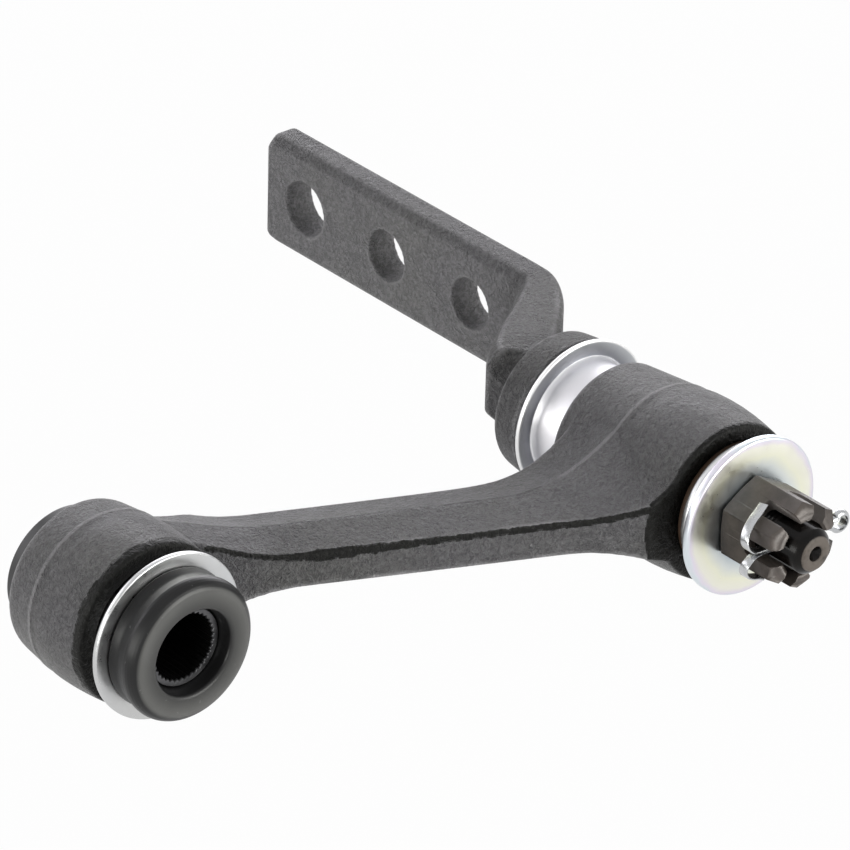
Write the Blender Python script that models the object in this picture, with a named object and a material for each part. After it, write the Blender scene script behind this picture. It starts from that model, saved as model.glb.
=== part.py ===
# Steering idler arm with its frame bracket, in metres, +Z up.
# The pivot axis is the Y axis: the nut end points to -Y and the bolt plate runs to +Y.
# The origin lies on the pivot axis in the parting plane of the arm's pivot boss.

from math import cos, hypot, pi, radians, sin, sqrt

import bmesh
import bpy
from mathutils import Vector

MM = 0.001

# Clearance between pieces that seat on each other
CLEARANCE = 0.3 * MM
# Facets around the round pieces
ROUND_STEPS = 48
BOSS_STEPS = 60
SMALL_STEPS = 24

# Shaft and stack on the pivot axis
SHAFT_RADIUS = 8.5 * MM
THREAD_RADIUS = 7.0 * MM
THREAD_LENGTH = 15.4 * MM
PILOT_RADIUS = 6.4 * MM
PILOT_CHAMFER = 1.9 * MM
PILOT_LENGTH = 11.9 * MM
CENTRE_DRILL_RADIUS = 2.4 * MM
CENTRE_DRILL_DEPTH = 3.4 * MM
SLEEVE_WALL = 2.4 * MM
PIVOT_RUBBER_WALL = 2.7 * MM
PIVOT_SHELL_WALL = 1.2 * MM
PIVOT_SHELL_INSET = 0.4 * MM
PIVOT_BUSH_GAP = 4.0 * MM
RUBBER_LIP_RADIUS = 18.0 * MM
RUBBER_LIP_THICKNESS = 1.8 * MM
THRUST_RING_RADIUS = 19.0 * MM
THRUST_RING_THICKNESS = 1.9 * MM
SLEEVE_STAND_OUT = 2.1 * MM
WASHER_RADIUS = 22.3 * MM
WASHER_THICKNESS = 2.3 * MM

# Flanged spool between the arm and the bracket's collar
SPOOL_FLANGE_RADIUS = 22.2 * MM
SPOOL_FLANGE_THICKNESS = 2.6 * MM
SPOOL_RIM_TAPER = 0.6 * MM
SPOOL_HUB_RADIUS = 17.3 * MM
SPOOL_HUB_TAPER = 0.6 * MM
SPOOL_HUB_LENGTH = 9.4 * MM
SPOOL_GAP_TO_ARM = 2.0 * MM
SPOOL_GROOVE = 0.5 * MM

# Slotted nut and its split pin
NUT_ACROSS_FLATS = 22.2 * MM
NUT_HEIGHT = 19.8 * MM
NUT_SLOT_WIDTH = 4.8 * MM
NUT_SLOT_DEPTH = 11.0 * MM
NUT_CHAMFER = 1.3 * MM
NUT_END_CHAMFER = 2.2 * MM
PIN_RADIUS = 1.4 * MM
PIN_EYE_RADIUS = 1.8 * MM
PIN_EYE_DROP = 0.9 * MM
PIN_EYE_REACH = 17.4 * MM
PIN_HOLE_CLEARANCE = 0.35 * MM
PIN_SEAT = 3.8 * MM
PIN_LEG_SPLIT = 0.15 * MM

# Arm forging
ARM_LENGTH = 156.8 * MM
LINK_RISE = 1.0 * MM
LINK_PARTING = 36.4 * MM
PIVOT_BOSS_RADIUS = 23.0 * MM
PIVOT_BOSS_FRONT = 26.0 * MM
PIVOT_BOSS_REAR = 20.0 * MM
PIVOT_BOSS_FRONT_DRAFT = 1.0 * MM
PIVOT_BOSS_REAR_DRAFT = 2.1 * MM
PIVOT_BOSS_BULGE = 0.9 * MM
PIVOT_BOSS_EDGE = 0.9 * MM
LINK_BOSS_RADIUS = 23.3 * MM
LINK_BOSS_FRONT = 19.9 * MM
LINK_BOSS_REAR = 11.2 * MM
LINK_BOSS_FRONT_DRAFT = 0.9 * MM
LINK_BOSS_REAR_DRAFT = 1.5 * MM
LINK_BOSS_BULGE = 0.3 * MM
LINK_BOSS_EDGE = 1.8 * MM
PARTING_STEP = 0.3 * MM
BEAM_HALF_THICKNESS = 11.5 * MM
BEAM_RIDGE_HEIGHT = 7.5 * MM
BEAM_EDGE_HEIGHT = 4.9 * MM
BEAM_EDGE_ROUND = 0.7 * MM
BEAM_PIVOT_BEND = 49.5 * MM
BEAM_LINK_BEND = 25.8 * MM
BEAM_FLARE_SPAN = 24.0 * MM
BEAM_ROOT_START = 50.0 * MM
BEAM_ROOT_SPREAD = 3.3 * MM
BEAM_ROOT_REAR = 12.3 * MM
BEAM_ROOT_SWELL = 44.0 * MM
BEAM_ROOT_RIDGE = 6.4 * MM
BEAM_ROOT_EDGE = 6.0 * MM
BEAM_LINK_SWELL = 48.0 * MM
BEAM_LINK_RIDGE = 5.0 * MM
BEAM_LINK_EDGE = 6.7 * MM
BEAM_BEND_ROUND = 1.6 * MM

# Link end bush
LINK_SLEEVE_BORE = 9.4 * MM
LINK_SLEEVE_WALL = 1.5 * MM
LINK_SERRATION = 0.45 * MM
LINK_SERRATIONS = 36
LINK_RUBBER_WALL = 4.4 * MM
LINK_SHELL_WALL = 1.3 * MM
LINK_SHELL_STAND_OUT = 5.9 * MM
LINK_FLANGE_RADIUS = 22.8 * MM
LINK_FLANGE_THICKNESS = 2.3 * MM
LINK_FLANGE_STAND_OFF = 4.6 * MM
LINK_NECK_RADIUS = 18.7 * MM
LINK_BULB_RADIUS = 19.6 * MM
LINK_BULB_LENGTH = 10.6 * MM
LINK_MOUTH_RADIUS = 12.6 * MM
LINK_MOUTH_DEPTH = 3.4 * MM
LINK_LIP = 0.8 * MM
LINK_SLEEVE_REAR = 2.2 * MM
LINK_RUBBER_RECESS = 1.0 * MM

# Bracket forging
PLATE_OFFSET = 18.0 * MM
PLATE_THICKNESS = 9.6 * MM
PLATE_HALF_HEIGHT = 17.0 * MM
PLATE_CHAMFER = 2.6 * MM
PLATE_BACK_CHAMFER = 0.9 * MM
PLATE_CORNER = 1.8 * MM
HOLE_SPACING = 35.6 * MM
NEAR_HOLE_FROM_COLLAR = 53.8 * MM
HOLE_TO_END = 16.6 * MM
BOLT_HOLE_RADIUS = 7.6 * MM
END_HOLE_RADIUS = 8.2 * MM
COLLAR_RADIUS = 21.2 * MM
COLLAR_DRAFT = 1.2 * MM
COLLAR_THICKNESS = 9.8 * MM
COLLAR_EDGE = 0.7 * MM
NECK_INNER = 16.0 * MM
NECK_OUTER = 6.5 * MM
NECK_UNDERCUT = 15.5 * MM

# Places along the pivot axis, worked out from the stack
SLEEVE_BORE = SHAFT_RADIUS + CLEARANCE
SLEEVE_RADIUS = SLEEVE_BORE + SLEEVE_WALL
RUBBER_BORE = SLEEVE_RADIUS + CLEARANCE
SHELL_INNER = RUBBER_BORE + PIVOT_RUBBER_WALL + CLEARANCE
SHELL_RADIUS = SHELL_INNER + PIVOT_SHELL_WALL
PIVOT_BORE = SHELL_RADIUS + CLEARANCE
ARM_FRONT_Y = -PIVOT_BOSS_FRONT
LIP_FRONT_Y = ARM_FRONT_Y - CLEARANCE - RUBBER_LIP_THICKNESS
RING_BACK_Y = LIP_FRONT_Y - CLEARANCE
RING_FRONT_Y = RING_BACK_Y - THRUST_RING_THICKNESS
SLEEVE_FRONT_Y = RING_FRONT_Y - SLEEVE_STAND_OUT
WASHER_BACK_Y = SLEEVE_FRONT_Y - CLEARANCE
WASHER_FRONT_Y = WASHER_BACK_Y - WASHER_THICKNESS
NUT_BACK_Y = WASHER_FRONT_Y - CLEARANCE
NUT_FRONT_Y = NUT_BACK_Y - NUT_HEIGHT
SLOT_FLOOR_Y = NUT_FRONT_Y + NUT_SLOT_DEPTH
PIN_Y = SLOT_FLOOR_Y - PIN_RADIUS - PIN_SEAT
THREAD_BACK_Y = SLEEVE_FRONT_Y + CLEARANCE
THREAD_FRONT_Y = THREAD_BACK_Y - THREAD_LENGTH
SHAFT_END_Y = THREAD_FRONT_Y - PILOT_LENGTH
SPOOL_FRONT_Y = PIVOT_BOSS_REAR + SPOOL_GAP_TO_ARM
SPOOL_FLANGE_Y = SPOOL_FRONT_Y + SPOOL_HUB_LENGTH
SPOOL_BACK_Y = SPOOL_FLANGE_Y + SPOOL_FLANGE_THICKNESS
COLLAR_FRONT_Y = SPOOL_BACK_Y + CLEARANCE
COLLAR_BACK_Y = COLLAR_FRONT_Y + COLLAR_THICKNESS
NEAR_HOLE_Y = COLLAR_BACK_Y + NEAR_HOLE_FROM_COLLAR
PLATE_END_Y = NEAR_HOLE_Y + 2 * HOLE_SPACING + HOLE_TO_END

# Places at the link end
LINK_CENTRE = Vector((-ARM_LENGTH, 0, LINK_RISE))
LINK_FRONT_Y = LINK_PARTING - LINK_BOSS_FRONT
LINK_REAR_Y = LINK_PARTING + LINK_BOSS_REAR
LINK_SLEEVE_RADIUS = LINK_SLEEVE_BORE + LINK_SLEEVE_WALL
LINK_RUBBER_BORE = LINK_SLEEVE_RADIUS + CLEARANCE
LINK_RUBBER_RADIUS = LINK_RUBBER_BORE + LINK_RUBBER_WALL
LINK_SHELL_BORE = LINK_RUBBER_RADIUS + CLEARANCE
LINK_SHELL_RADIUS = LINK_SHELL_BORE + LINK_SHELL_WALL
LINK_BORE = LINK_SHELL_RADIUS + CLEARANCE
LINK_SHELL_REAR_Y = LINK_REAR_Y + LINK_SHELL_STAND_OUT
LINK_FLANGE_BACK_Y = LINK_FRONT_Y - LINK_FLANGE_STAND_OFF
LINK_FLANGE_FRONT_Y = LINK_FLANGE_BACK_Y - LINK_FLANGE_THICKNESS
LINK_BULB_FRONT_Y = LINK_FLANGE_FRONT_Y - LINK_BULB_LENGTH
LINK_SLEEVE_FRONT_Y = LINK_BULB_FRONT_Y + LINK_MOUTH_DEPTH + LINK_LIP
BEAM_SLOPE = LINK_PARTING / (ARM_LENGTH - BEAM_PIVOT_BEND - BEAM_LINK_BEND)


def clear_scene():
    for item in list(bpy.data.objects):
        bpy.data.objects.remove(item, do_unlink=True)


def finish_material(name, colour, roughness, metallic):
    material = bpy.data.materials.new(name)
    material.use_nodes = True
    shader = material.node_tree.nodes["Principled BSDF"]
    shader.inputs["Base Color"].default_value = (*colour, 1.0)
    shader.inputs["Roughness"].default_value = roughness
    shader.inputs["Metallic"].default_value = metallic
    return material


def link_mesh(name, bm, material=None):
    bmesh.ops.recalc_face_normals(bm, faces=bm.faces)
    mesh = bpy.data.meshes.new(name)
    bm.to_mesh(mesh)
    bm.free()
    item = bpy.data.objects.new(name, mesh)
    bpy.context.scene.collection.objects.link(item)
    if material:
        mesh.materials.append(material)
    return item


def smooth_round(item, angle=30):
    item.data.shade_smooth()
    item.data.set_sharp_from_angle(angle=radians(angle))


def as_tool(item):
    item.hide_render = True
    item.display_type = "WIRE"
    return item


def add_boolean(item, tool, operation):
    modifier = item.modifiers.new(f"{operation.lower()}_{tool.name}", "BOOLEAN")
    modifier.operation = operation
    modifier.solver = "EXACT"
    modifier.object = tool


# A profile of (radius, y) points turned about the Y axis; radius 0 closes it on the axis
def turn(name, profile, material=None, steps=ROUND_STEPS, closed=True):
    bm = bmesh.new()
    verts = [bm.verts.new((radius, y, 0)) for radius, y in profile]
    edges = [bm.edges.new(pair) for pair in zip(verts, verts[1:])]
    if closed:
        edges.append(bm.edges.new((verts[-1], verts[0])))
    bmesh.ops.spin(
        bm,
        geom=verts + edges,
        cent=(0, 0, 0),
        axis=(0, 1, 0),
        angle=2 * pi,
        steps=steps,
        use_merge=True,
    )
    bmesh.ops.remove_doubles(bm, verts=bm.verts, dist=0.001 * MM)
    item = link_mesh(name, bm, material)
    smooth_round(item)
    return item


# Rings of points, one after another, skinned into a closed solid with flat ends
def skin(name, rings, material=None):
    bm = bmesh.new()
    loops = [[bm.verts.new(point) for point in ring] for ring in rings]
    count = len(loops[0])
    for near, far in zip(loops, loops[1:]):
        for i in range(count):
            j = (i + 1) % count
            bm.faces.new((near[i], near[j], far[j], far[i]))
    bm.faces.new(loops[0][::-1])
    bm.faces.new(loops[-1])
    return link_mesh(name, bm, material)


def ring_profile(inner, outer, back, front, edge):
    return [
        (inner, back),
        (outer - edge, back),
        (outer, back - edge),
        (outer, front + edge),
        (outer - edge, front),
        (inner, front),
    ]


# A smooth curve through the points: each stretch is a Catmull-Rom cubic
def smooth_path(points, steps):
    ends = [2 * points[0] - points[1]] + points + [2 * points[-1] - points[-2]]
    path = []
    for a, b, c, d in zip(ends, ends[1:], ends[2:], ends[3:]):
        for k in range(steps):
            t = k / steps
            path.append(0.5 * (2 * b + (c - a) * t + (2 * a - 5 * b + 4 * c - d) * t * t
                               + (3 * b - 3 * c + d - a) * t * t * t))
    path.append(points[-1].copy())
    return path


# The plate and leg are an eight-cornered bar: inner and outer plan points, and a cut at each corner
def bar_section(inner, outer, half_height, top_cut, under_cut, back_cut):
    inner = Vector((*inner, 0))
    outer = Vector((*outer, 0))
    across = (outer - inner).normalized()
    up = Vector((0, 0, 1))
    return [
        inner + across * top_cut + up * half_height,
        inner + up * (half_height - top_cut),
        inner - up * (half_height - under_cut),
        inner + across * under_cut - up * half_height,
        outer - across * back_cut - up * half_height,
        outer - up * (half_height - back_cut),
        outer + up * (half_height - back_cut),
        outer - across * back_cut + up * half_height,
    ]


# The plate's far end has rounded corners: its sections shrink in height towards the end
def plate_sections():
    front = PLATE_OFFSET
    back = PLATE_OFFSET + PLATE_THICKNESS
    rings = []
    for angle in (pi / 2, pi / 3, pi / 6, 0):
        y = PLATE_END_Y - PLATE_CORNER * (1 - cos(angle - pi / 2))
        half = PLATE_HALF_HEIGHT - PLATE_CORNER * (1 - cos(angle))
        rings.append(bar_section((front, y), (back, y), half, PLATE_CHAMFER, PLATE_CHAMFER,
                                 PLATE_BACK_CHAMFER))
    return rings


# The leg turns inwards behind the collar, thickens, and loses its lower inner corner to the neck
def leg_sections():
    front = PLATE_OFFSET
    back = PLATE_OFFSET + PLATE_THICKNESS
    base = COLLAR_BACK_Y
    cut = PLATE_CHAMFER
    rear = PLATE_BACK_CHAMFER
    under = NECK_UNDERCUT
    stations = (
        (front, base + 50 * MM, back, base + 50 * MM, cut, cut, rear),
        (front, base + 38 * MM, back, base + 36 * MM, cut, cut, rear),
        (front - 1.5 * MM, base + 32.7 * MM, back - 0.7 * MM, base + 29 * MM, 1.1 * cut, cut, 1.4 * rear),
        (front - 11.6 * MM, base + 24.1 * MM, back - 5.4 * MM, base + 20.5 * MM, 0.9 * cut, 0.3 * under, 2 * rear),
        (front - 24.1 * MM, base + 15.7 * MM, back - 13 * MM, base + 11.8 * MM, 0.9 * cut, 0.6 * under, 2 * rear),
        (-NECK_INNER, base + 8 * MM, NECK_OUTER + 1.5 * MM, base + 5 * MM, 1.6 * cut, under, 2.6 * rear),
        (-NECK_INNER - 0.4 * MM, base + 3 * MM, NECK_OUTER - 1 * MM, base + 1.5 * MM, 2.8 * cut, 0.95 * under, 3 * rear),
        (-NECK_INNER - 0.4 * MM, base - 3 * MM, NECK_OUTER - 1 * MM, base - 3 * MM, 3.2 * cut, 0.9 * under, 3 * rear),
    )
    inner = smooth_path([Vector(s[0:2]) for s in stations], 2)
    outer = smooth_path([Vector(s[2:4]) for s in stations], 2)
    cuts = smooth_path([Vector(s[4:7]) for s in stations], 2)
    return [bar_section(a, b, PLATE_HALF_HEIGHT, *c) for a, b, c in zip(inner, outer, cuts)]


def make_bracket():
    material = finish_material("bracket_black", (0.075, 0.073, 0.075), 0.5, 0.0)
    bracket = skin("frame_bracket", plate_sections() + leg_sections(), material)
    nose = PILOT_RADIUS - PILOT_CHAMFER
    rim = COLLAR_RADIUS - COLLAR_DRAFT
    spindle = turn(
        "spindle",
        [
            (0, COLLAR_BACK_Y),
            (rim - COLLAR_EDGE, COLLAR_BACK_Y),
            (rim, COLLAR_BACK_Y - COLLAR_EDGE),
            (COLLAR_RADIUS, COLLAR_FRONT_Y + COLLAR_EDGE),
            (COLLAR_RADIUS - COLLAR_EDGE, COLLAR_FRONT_Y),
            (SHAFT_RADIUS, COLLAR_FRONT_Y),
            (SHAFT_RADIUS, THREAD_BACK_Y + CLEARANCE),
            (THREAD_RADIUS, THREAD_BACK_Y),
            (THREAD_RADIUS, THREAD_FRONT_Y + CLEARANCE),
            (PILOT_RADIUS, THREAD_FRONT_Y),
            (PILOT_RADIUS, SHAFT_END_Y + PILOT_CHAMFER),
            (nose, SHAFT_END_Y),
            (CENTRE_DRILL_RADIUS, SHAFT_END_Y),
            (0, SHAFT_END_Y + CENTRE_DRILL_DEPTH),
        ],
        closed=False,
    )
    add_boolean(bracket, as_tool(spindle), "UNION")
    reach = PLATE_THICKNESS
    for index in range(3):
        radius = END_HOLE_RADIUS if index == 2 else BOLT_HOLE_RADIUS
        hole = turn(f"bolt_hole_{index}", [(0, reach), (radius, reach), (radius, -reach), (0, -reach)],
                    steps=SMALL_STEPS, closed=False)
        hole.rotation_euler = (0, 0, pi / 2)
        hole.location = (PLATE_OFFSET + PLATE_THICKNESS / 2, NEAR_HOLE_Y + index * HOLE_SPACING, 0)
        add_boolean(bracket, as_tool(hole), "DIFFERENCE")
    bore = PIN_RADIUS + PIN_HOLE_CLEARANCE
    pin_hole = turn("pin_hole", [(0, NUT_HEIGHT), (bore, NUT_HEIGHT), (bore, -NUT_HEIGHT), (0, -NUT_HEIGHT)],
                    steps=12, closed=False)
    pin_hole.rotation_euler = (0, 0, pi / 2)
    pin_hole.location = (0, PIN_Y, 0)
    add_boolean(bracket, as_tool(pin_hole), "DIFFERENCE")
    return bracket


def make_spool():
    material = finish_material("spool_zinc", (0.62, 0.63, 0.66), 0.28, 1.0)
    hub = SPOOL_HUB_RADIUS
    edge = SPOOL_GROOVE
    return turn(
        "rear_spool",
        [
            (SLEEVE_BORE, SPOOL_BACK_Y),
            (SPOOL_FLANGE_RADIUS - SPOOL_RIM_TAPER - edge, SPOOL_BACK_Y),
            (SPOOL_FLANGE_RADIUS - SPOOL_RIM_TAPER, SPOOL_BACK_Y - edge),
            (SPOOL_FLANGE_RADIUS, SPOOL_FLANGE_Y + edge),
            (SPOOL_FLANGE_RADIUS - edge, SPOOL_FLANGE_Y),
            (hub + 2 * edge, SPOOL_FLANGE_Y + edge),
            (hub, SPOOL_FLANGE_Y + edge),
            (hub, SPOOL_FLANGE_Y - 2 * edge),
            (hub - SPOOL_HUB_TAPER, SPOOL_FRONT_Y + edge),
            (hub - SPOOL_HUB_TAPER - edge, SPOOL_FRONT_Y),
            (SLEEVE_BORE, SPOOL_FRONT_Y),
        ],
        material,
    )


def make_pivot_bushes():
    steel = finish_material("sleeve_steel", (0.45, 0.45, 0.46), 0.35, 1.0)
    turn("pivot_sleeve",
         ring_profile(SLEEVE_BORE, SLEEVE_RADIUS, SPOOL_FRONT_Y - CLEARANCE, SLEEVE_FRONT_Y, CLEARANCE),
         steel)
    shell_steel = finish_material("shell_steel", (0.22, 0.22, 0.23), 0.4, 1.0)
    half_gap = PIVOT_BUSH_GAP / 2
    rear_end = PIVOT_BOSS_REAR - PIVOT_SHELL_INSET
    front_end = ARM_FRONT_Y + PIVOT_SHELL_INSET
    turn("rear_bush_shell",
         ring_profile(SHELL_INNER, SHELL_RADIUS, rear_end, half_gap, CLEARANCE), shell_steel)
    turn("front_bush_shell",
         ring_profile(SHELL_INNER, SHELL_RADIUS, -half_gap, front_end, CLEARANCE), shell_steel)
    rubber = finish_material("pivot_rubber", (0.03, 0.025, 0.022), 0.7, 0.0)
    body = RUBBER_BORE + PIVOT_RUBBER_WALL
    rear_face = SPOOL_FRONT_Y - CLEARANCE
    rear_lip = PIVOT_BOSS_REAR + CLEARANCE
    turn("rear_bush_rubber",
         [(RUBBER_BORE, rear_face), (PIVOT_BORE, rear_face), (PIVOT_BORE, rear_lip), (body, rear_lip),
          (body, half_gap), (RUBBER_BORE, half_gap)], rubber)
    front_lip = ARM_FRONT_Y - CLEARANCE
    turn("front_bush_rubber",
         [(RUBBER_BORE, -half_gap), (body, -half_gap), (body, front_lip), (RUBBER_LIP_RADIUS, front_lip),
          (RUBBER_LIP_RADIUS, LIP_FRONT_Y), (RUBBER_BORE, LIP_FRONT_Y)], rubber)


def make_front_rings():
    ring_steel = finish_material("thrust_ring_zinc", (0.66, 0.64, 0.64), 0.3, 1.0)
    turn("thrust_ring",
         ring_profile(RUBBER_BORE, THRUST_RING_RADIUS, RING_BACK_Y, RING_FRONT_Y, 2 * CLEARANCE),
         ring_steel)
    zinc = finish_material("washer_zinc", (0.72, 0.72, 0.62), 0.3, 1.0)
    turn("flat_washer",
         ring_profile(THREAD_RADIUS + 2 * CLEARANCE, WASHER_RADIUS, WASHER_BACK_Y, WASHER_FRONT_Y,
                      1.5 * CLEARANCE),
         zinc)


def make_nut():
    material = finish_material("nut_phosphate", (0.1, 0.09, 0.078), 0.5, 0.6)
    corner = NUT_ACROSS_FLATS / 2 / cos(pi / 6)
    bm = bmesh.new()
    hexagon = [bm.verts.new((corner * cos(k * pi / 3 + pi / 2), NUT_BACK_Y, corner * sin(k * pi / 3 + pi / 2)))
               for k in range(6)]
    base = bm.faces.new(hexagon)
    pushed = bmesh.ops.extrude_face_region(bm, geom=[base])["geom"]
    top = [v for v in pushed if isinstance(v, bmesh.types.BMVert)]
    bmesh.ops.translate(bm, verts=top, vec=(0, -NUT_HEIGHT, 0))
    nut = link_mesh("castle_nut", bm, material)
    flat = NUT_ACROSS_FLATS / 2
    rounding = turn(
        "nut_rounding",
        [
            (0, NUT_BACK_Y),
            (flat, NUT_BACK_Y),
            (corner, NUT_BACK_Y - NUT_CHAMFER / 2),
            (corner, NUT_FRONT_Y + NUT_END_CHAMFER),
            (flat - NUT_CHAMFER, NUT_FRONT_Y),
            (0, NUT_FRONT_Y),
        ],
        closed=False,
    )
    add_boolean(nut, as_tool(rounding), "INTERSECT")
    bore = THREAD_RADIUS + CLEARANCE
    hole = turn("nut_bore", [(0, NUT_BACK_Y + MM), (bore, NUT_BACK_Y + MM), (bore, NUT_FRONT_Y - MM),
                             (0, NUT_FRONT_Y - MM)], steps=SMALL_STEPS, closed=False)
    add_boolean(nut, as_tool(hole), "DIFFERENCE")
    for index in range(3):
        bm = bmesh.new()
        bmesh.ops.create_cube(bm, size=1)
        bmesh.ops.scale(bm, verts=bm.verts, vec=(4 * corner, 2 * NUT_SLOT_DEPTH, NUT_SLOT_WIDTH))
        slot = link_mesh(f"nut_slot_{index}", bm)
        slot.location = (0, SLOT_FLOOR_Y - NUT_SLOT_DEPTH, 0)
        slot.rotation_euler = (0, index * pi / 3, 0)
        add_boolean(nut, as_tool(slot), "DIFFERENCE")
    return nut


# Half-round wire: in along one leg, round the eye and back along the other leg.
# The legs lie flat to flat in the cross hole and are bent round the nut's two nearest corners.
def make_split_pin():
    material = finish_material("pin_zinc", (0.7, 0.71, 0.72), 0.22, 1.0)
    flat = NUT_ACROSS_FLATS / 2
    corner = flat / cos(pi / 6)
    wire = PIN_RADIUS + CLEARANCE
    lift = PIN_SEAT + PIN_RADIUS - wire

    def bent_leg(side):
        bends = (
            (174, corner + 1.0 * wire, 0.0),
            (166, corner + 1.9 * wire, 0.15),
            (155, corner + 1.7 * wire, 0.4),
            (143, corner + 0.9 * wire, 0.65),
            (131, flat + 1.2 * wire, 0.85),
            (120, flat + 1.05 * wire, 1.0),
        )
        return [
            Vector((radius * cos(radians(a)), PIN_Y + rise * lift, side * radius * sin(radians(a))))
            for a, radius, rise in bends
        ]

    eye = []
    for step in range(9):
        angle = radians(150 - step * 300 / 8)
        eye.append(Vector((PIN_EYE_REACH + PIN_EYE_RADIUS * cos(angle), PIN_Y,
                           PIN_EYE_RADIUS * sin(angle) - PIN_EYE_DROP)))
    straight = [Vector((x, PIN_Y, PIN_LEG_SPLIT)) for x in (-0.85 * corner, 0, 0.85 * corner)]
    back = [Vector((v.x, v.y, -v.z)) for v in reversed(straight)]
    points = list(reversed(bent_leg(1))) + straight + eye + back + bent_leg(-1)
    path = smooth_path(points, 3)
    width = Vector((0, 1, 0))
    rings = []
    for index, place in enumerate(path):
        before = path[max(index - 1, 0)]
        after = path[min(index + 1, len(path) - 1)]
        tangent = (after - before).normalized()
        side = (width - tangent * width.dot(tangent)).normalized()
        outward = tangent.cross(side).normalized()
        ring = []
        for step in range(7):
            angle = step / 6 * pi
            ring.append(place + side * PIN_RADIUS * cos(angle) + outward * PIN_RADIUS * sin(angle) * 0.9)
        rings.append(ring)
    pin = skin("split_pin", rings, material)
    smooth_round(pin, 50)
    return pin


# The boss is parted at its fullest: it bulges towards the front, and its rear edge is rounded
def boss_profile(radius, parting, front, rear, front_draft, rear_draft, bulge, edge):
    end = parting + rear
    tail = radius - rear_draft
    profile = [
        (0, end),
        (tail - edge, end),
        (tail - 0.3 * edge, end - 0.3 * edge),
        (tail, end - edge),
        (radius - PARTING_STEP, parting + 2 * PARTING_STEP),
        (radius, parting),
    ]
    for step in range(6):
        t = 0.06 + 0.94 * step / 5
        step_down = PARTING_STEP if step == 0 else 0
        profile.append((radius - step_down + bulge * sin(pi * t) - front_draft * t * t, parting - front * t))
    profile.append((0, parting - front))
    return profile


# 0 until the distance falls to start, then the square of how far it has gone below it
def flare(distance, start):
    return (max(0.0, start - distance) / BEAM_FLARE_SPAN) ** 2


# The larger of two lengths, with the change from one to the other rounded off
def round_max(a, b, radius):
    return (a + b + sqrt((a - b) ** 2 + radius ** 2)) / 2


# Beam section in a plane across X: a flat hexagon with a ridge at the parting line.
# Towards each boss the ridge and the edges rise, and at the pivot the root spreads to the front face.
def beam_section(x):
    to_pivot = -x
    to_link = x + ARM_LENGTH
    line = BEAM_SLOPE * (to_pivot - BEAM_PIVOT_BEND)
    half = BEAM_HALF_THICKNESS * hypot(1, BEAM_SLOPE)
    spread = BEAM_ROOT_SPREAD * flare(to_pivot, BEAM_ROOT_START)
    root = flare(to_pivot, BEAM_ROOT_SWELL)
    link = flare(to_link, BEAM_LINK_SWELL)
    front = max(line - half - spread, ARM_FRONT_Y + CLEARANCE)
    rear = round_max(line + half, BEAM_ROOT_REAR + 0.5 * spread, 2 * BEAM_BEND_ROUND)
    rear = min(rear, LINK_REAR_Y - 1.3 * LINK_BOSS_EDGE)
    ridge_y = round_max(line, 0, BEAM_BEND_ROUND)
    ridge_y = LINK_PARTING - round_max(LINK_PARTING - ridge_y, 0, BEAM_BEND_ROUND)
    ridge = BEAM_RIDGE_HEIGHT + BEAM_ROOT_RIDGE * root + BEAM_LINK_RIDGE * link
    front_edge = BEAM_EDGE_HEIGHT + BEAM_ROOT_EDGE * root + BEAM_LINK_EDGE * link
    front_edge = min(front_edge, 0.86 * ridge)
    rear_edge = min(front_edge, 0.8 * ridge)
    soft = BEAM_EDGE_ROUND
    fall_front = (ridge - front_edge) / (ridge_y - front)
    fall_rear = (ridge - rear_edge) / (rear - ridge_y)
    upper = (
        (rear, rear_edge - soft),
        (rear - 0.3 * soft, rear_edge - 0.3 * soft),
        (rear - soft, rear_edge + fall_rear * soft),
        (ridge_y + soft, ridge - fall_rear * soft),
        (ridge_y - soft, ridge - fall_front * soft),
        (front + soft, front_edge + fall_front * soft),
        (front + 0.3 * soft, front_edge - 0.3 * soft),
        (front, front_edge - soft),
    )
    middle = LINK_RISE * to_pivot / ARM_LENGTH
    outline = [(y, z) for y, z in upper] + [(y, -z) for y, z in reversed(upper)]
    return [Vector((x, y, middle + z)) for y, z in outline]


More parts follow.
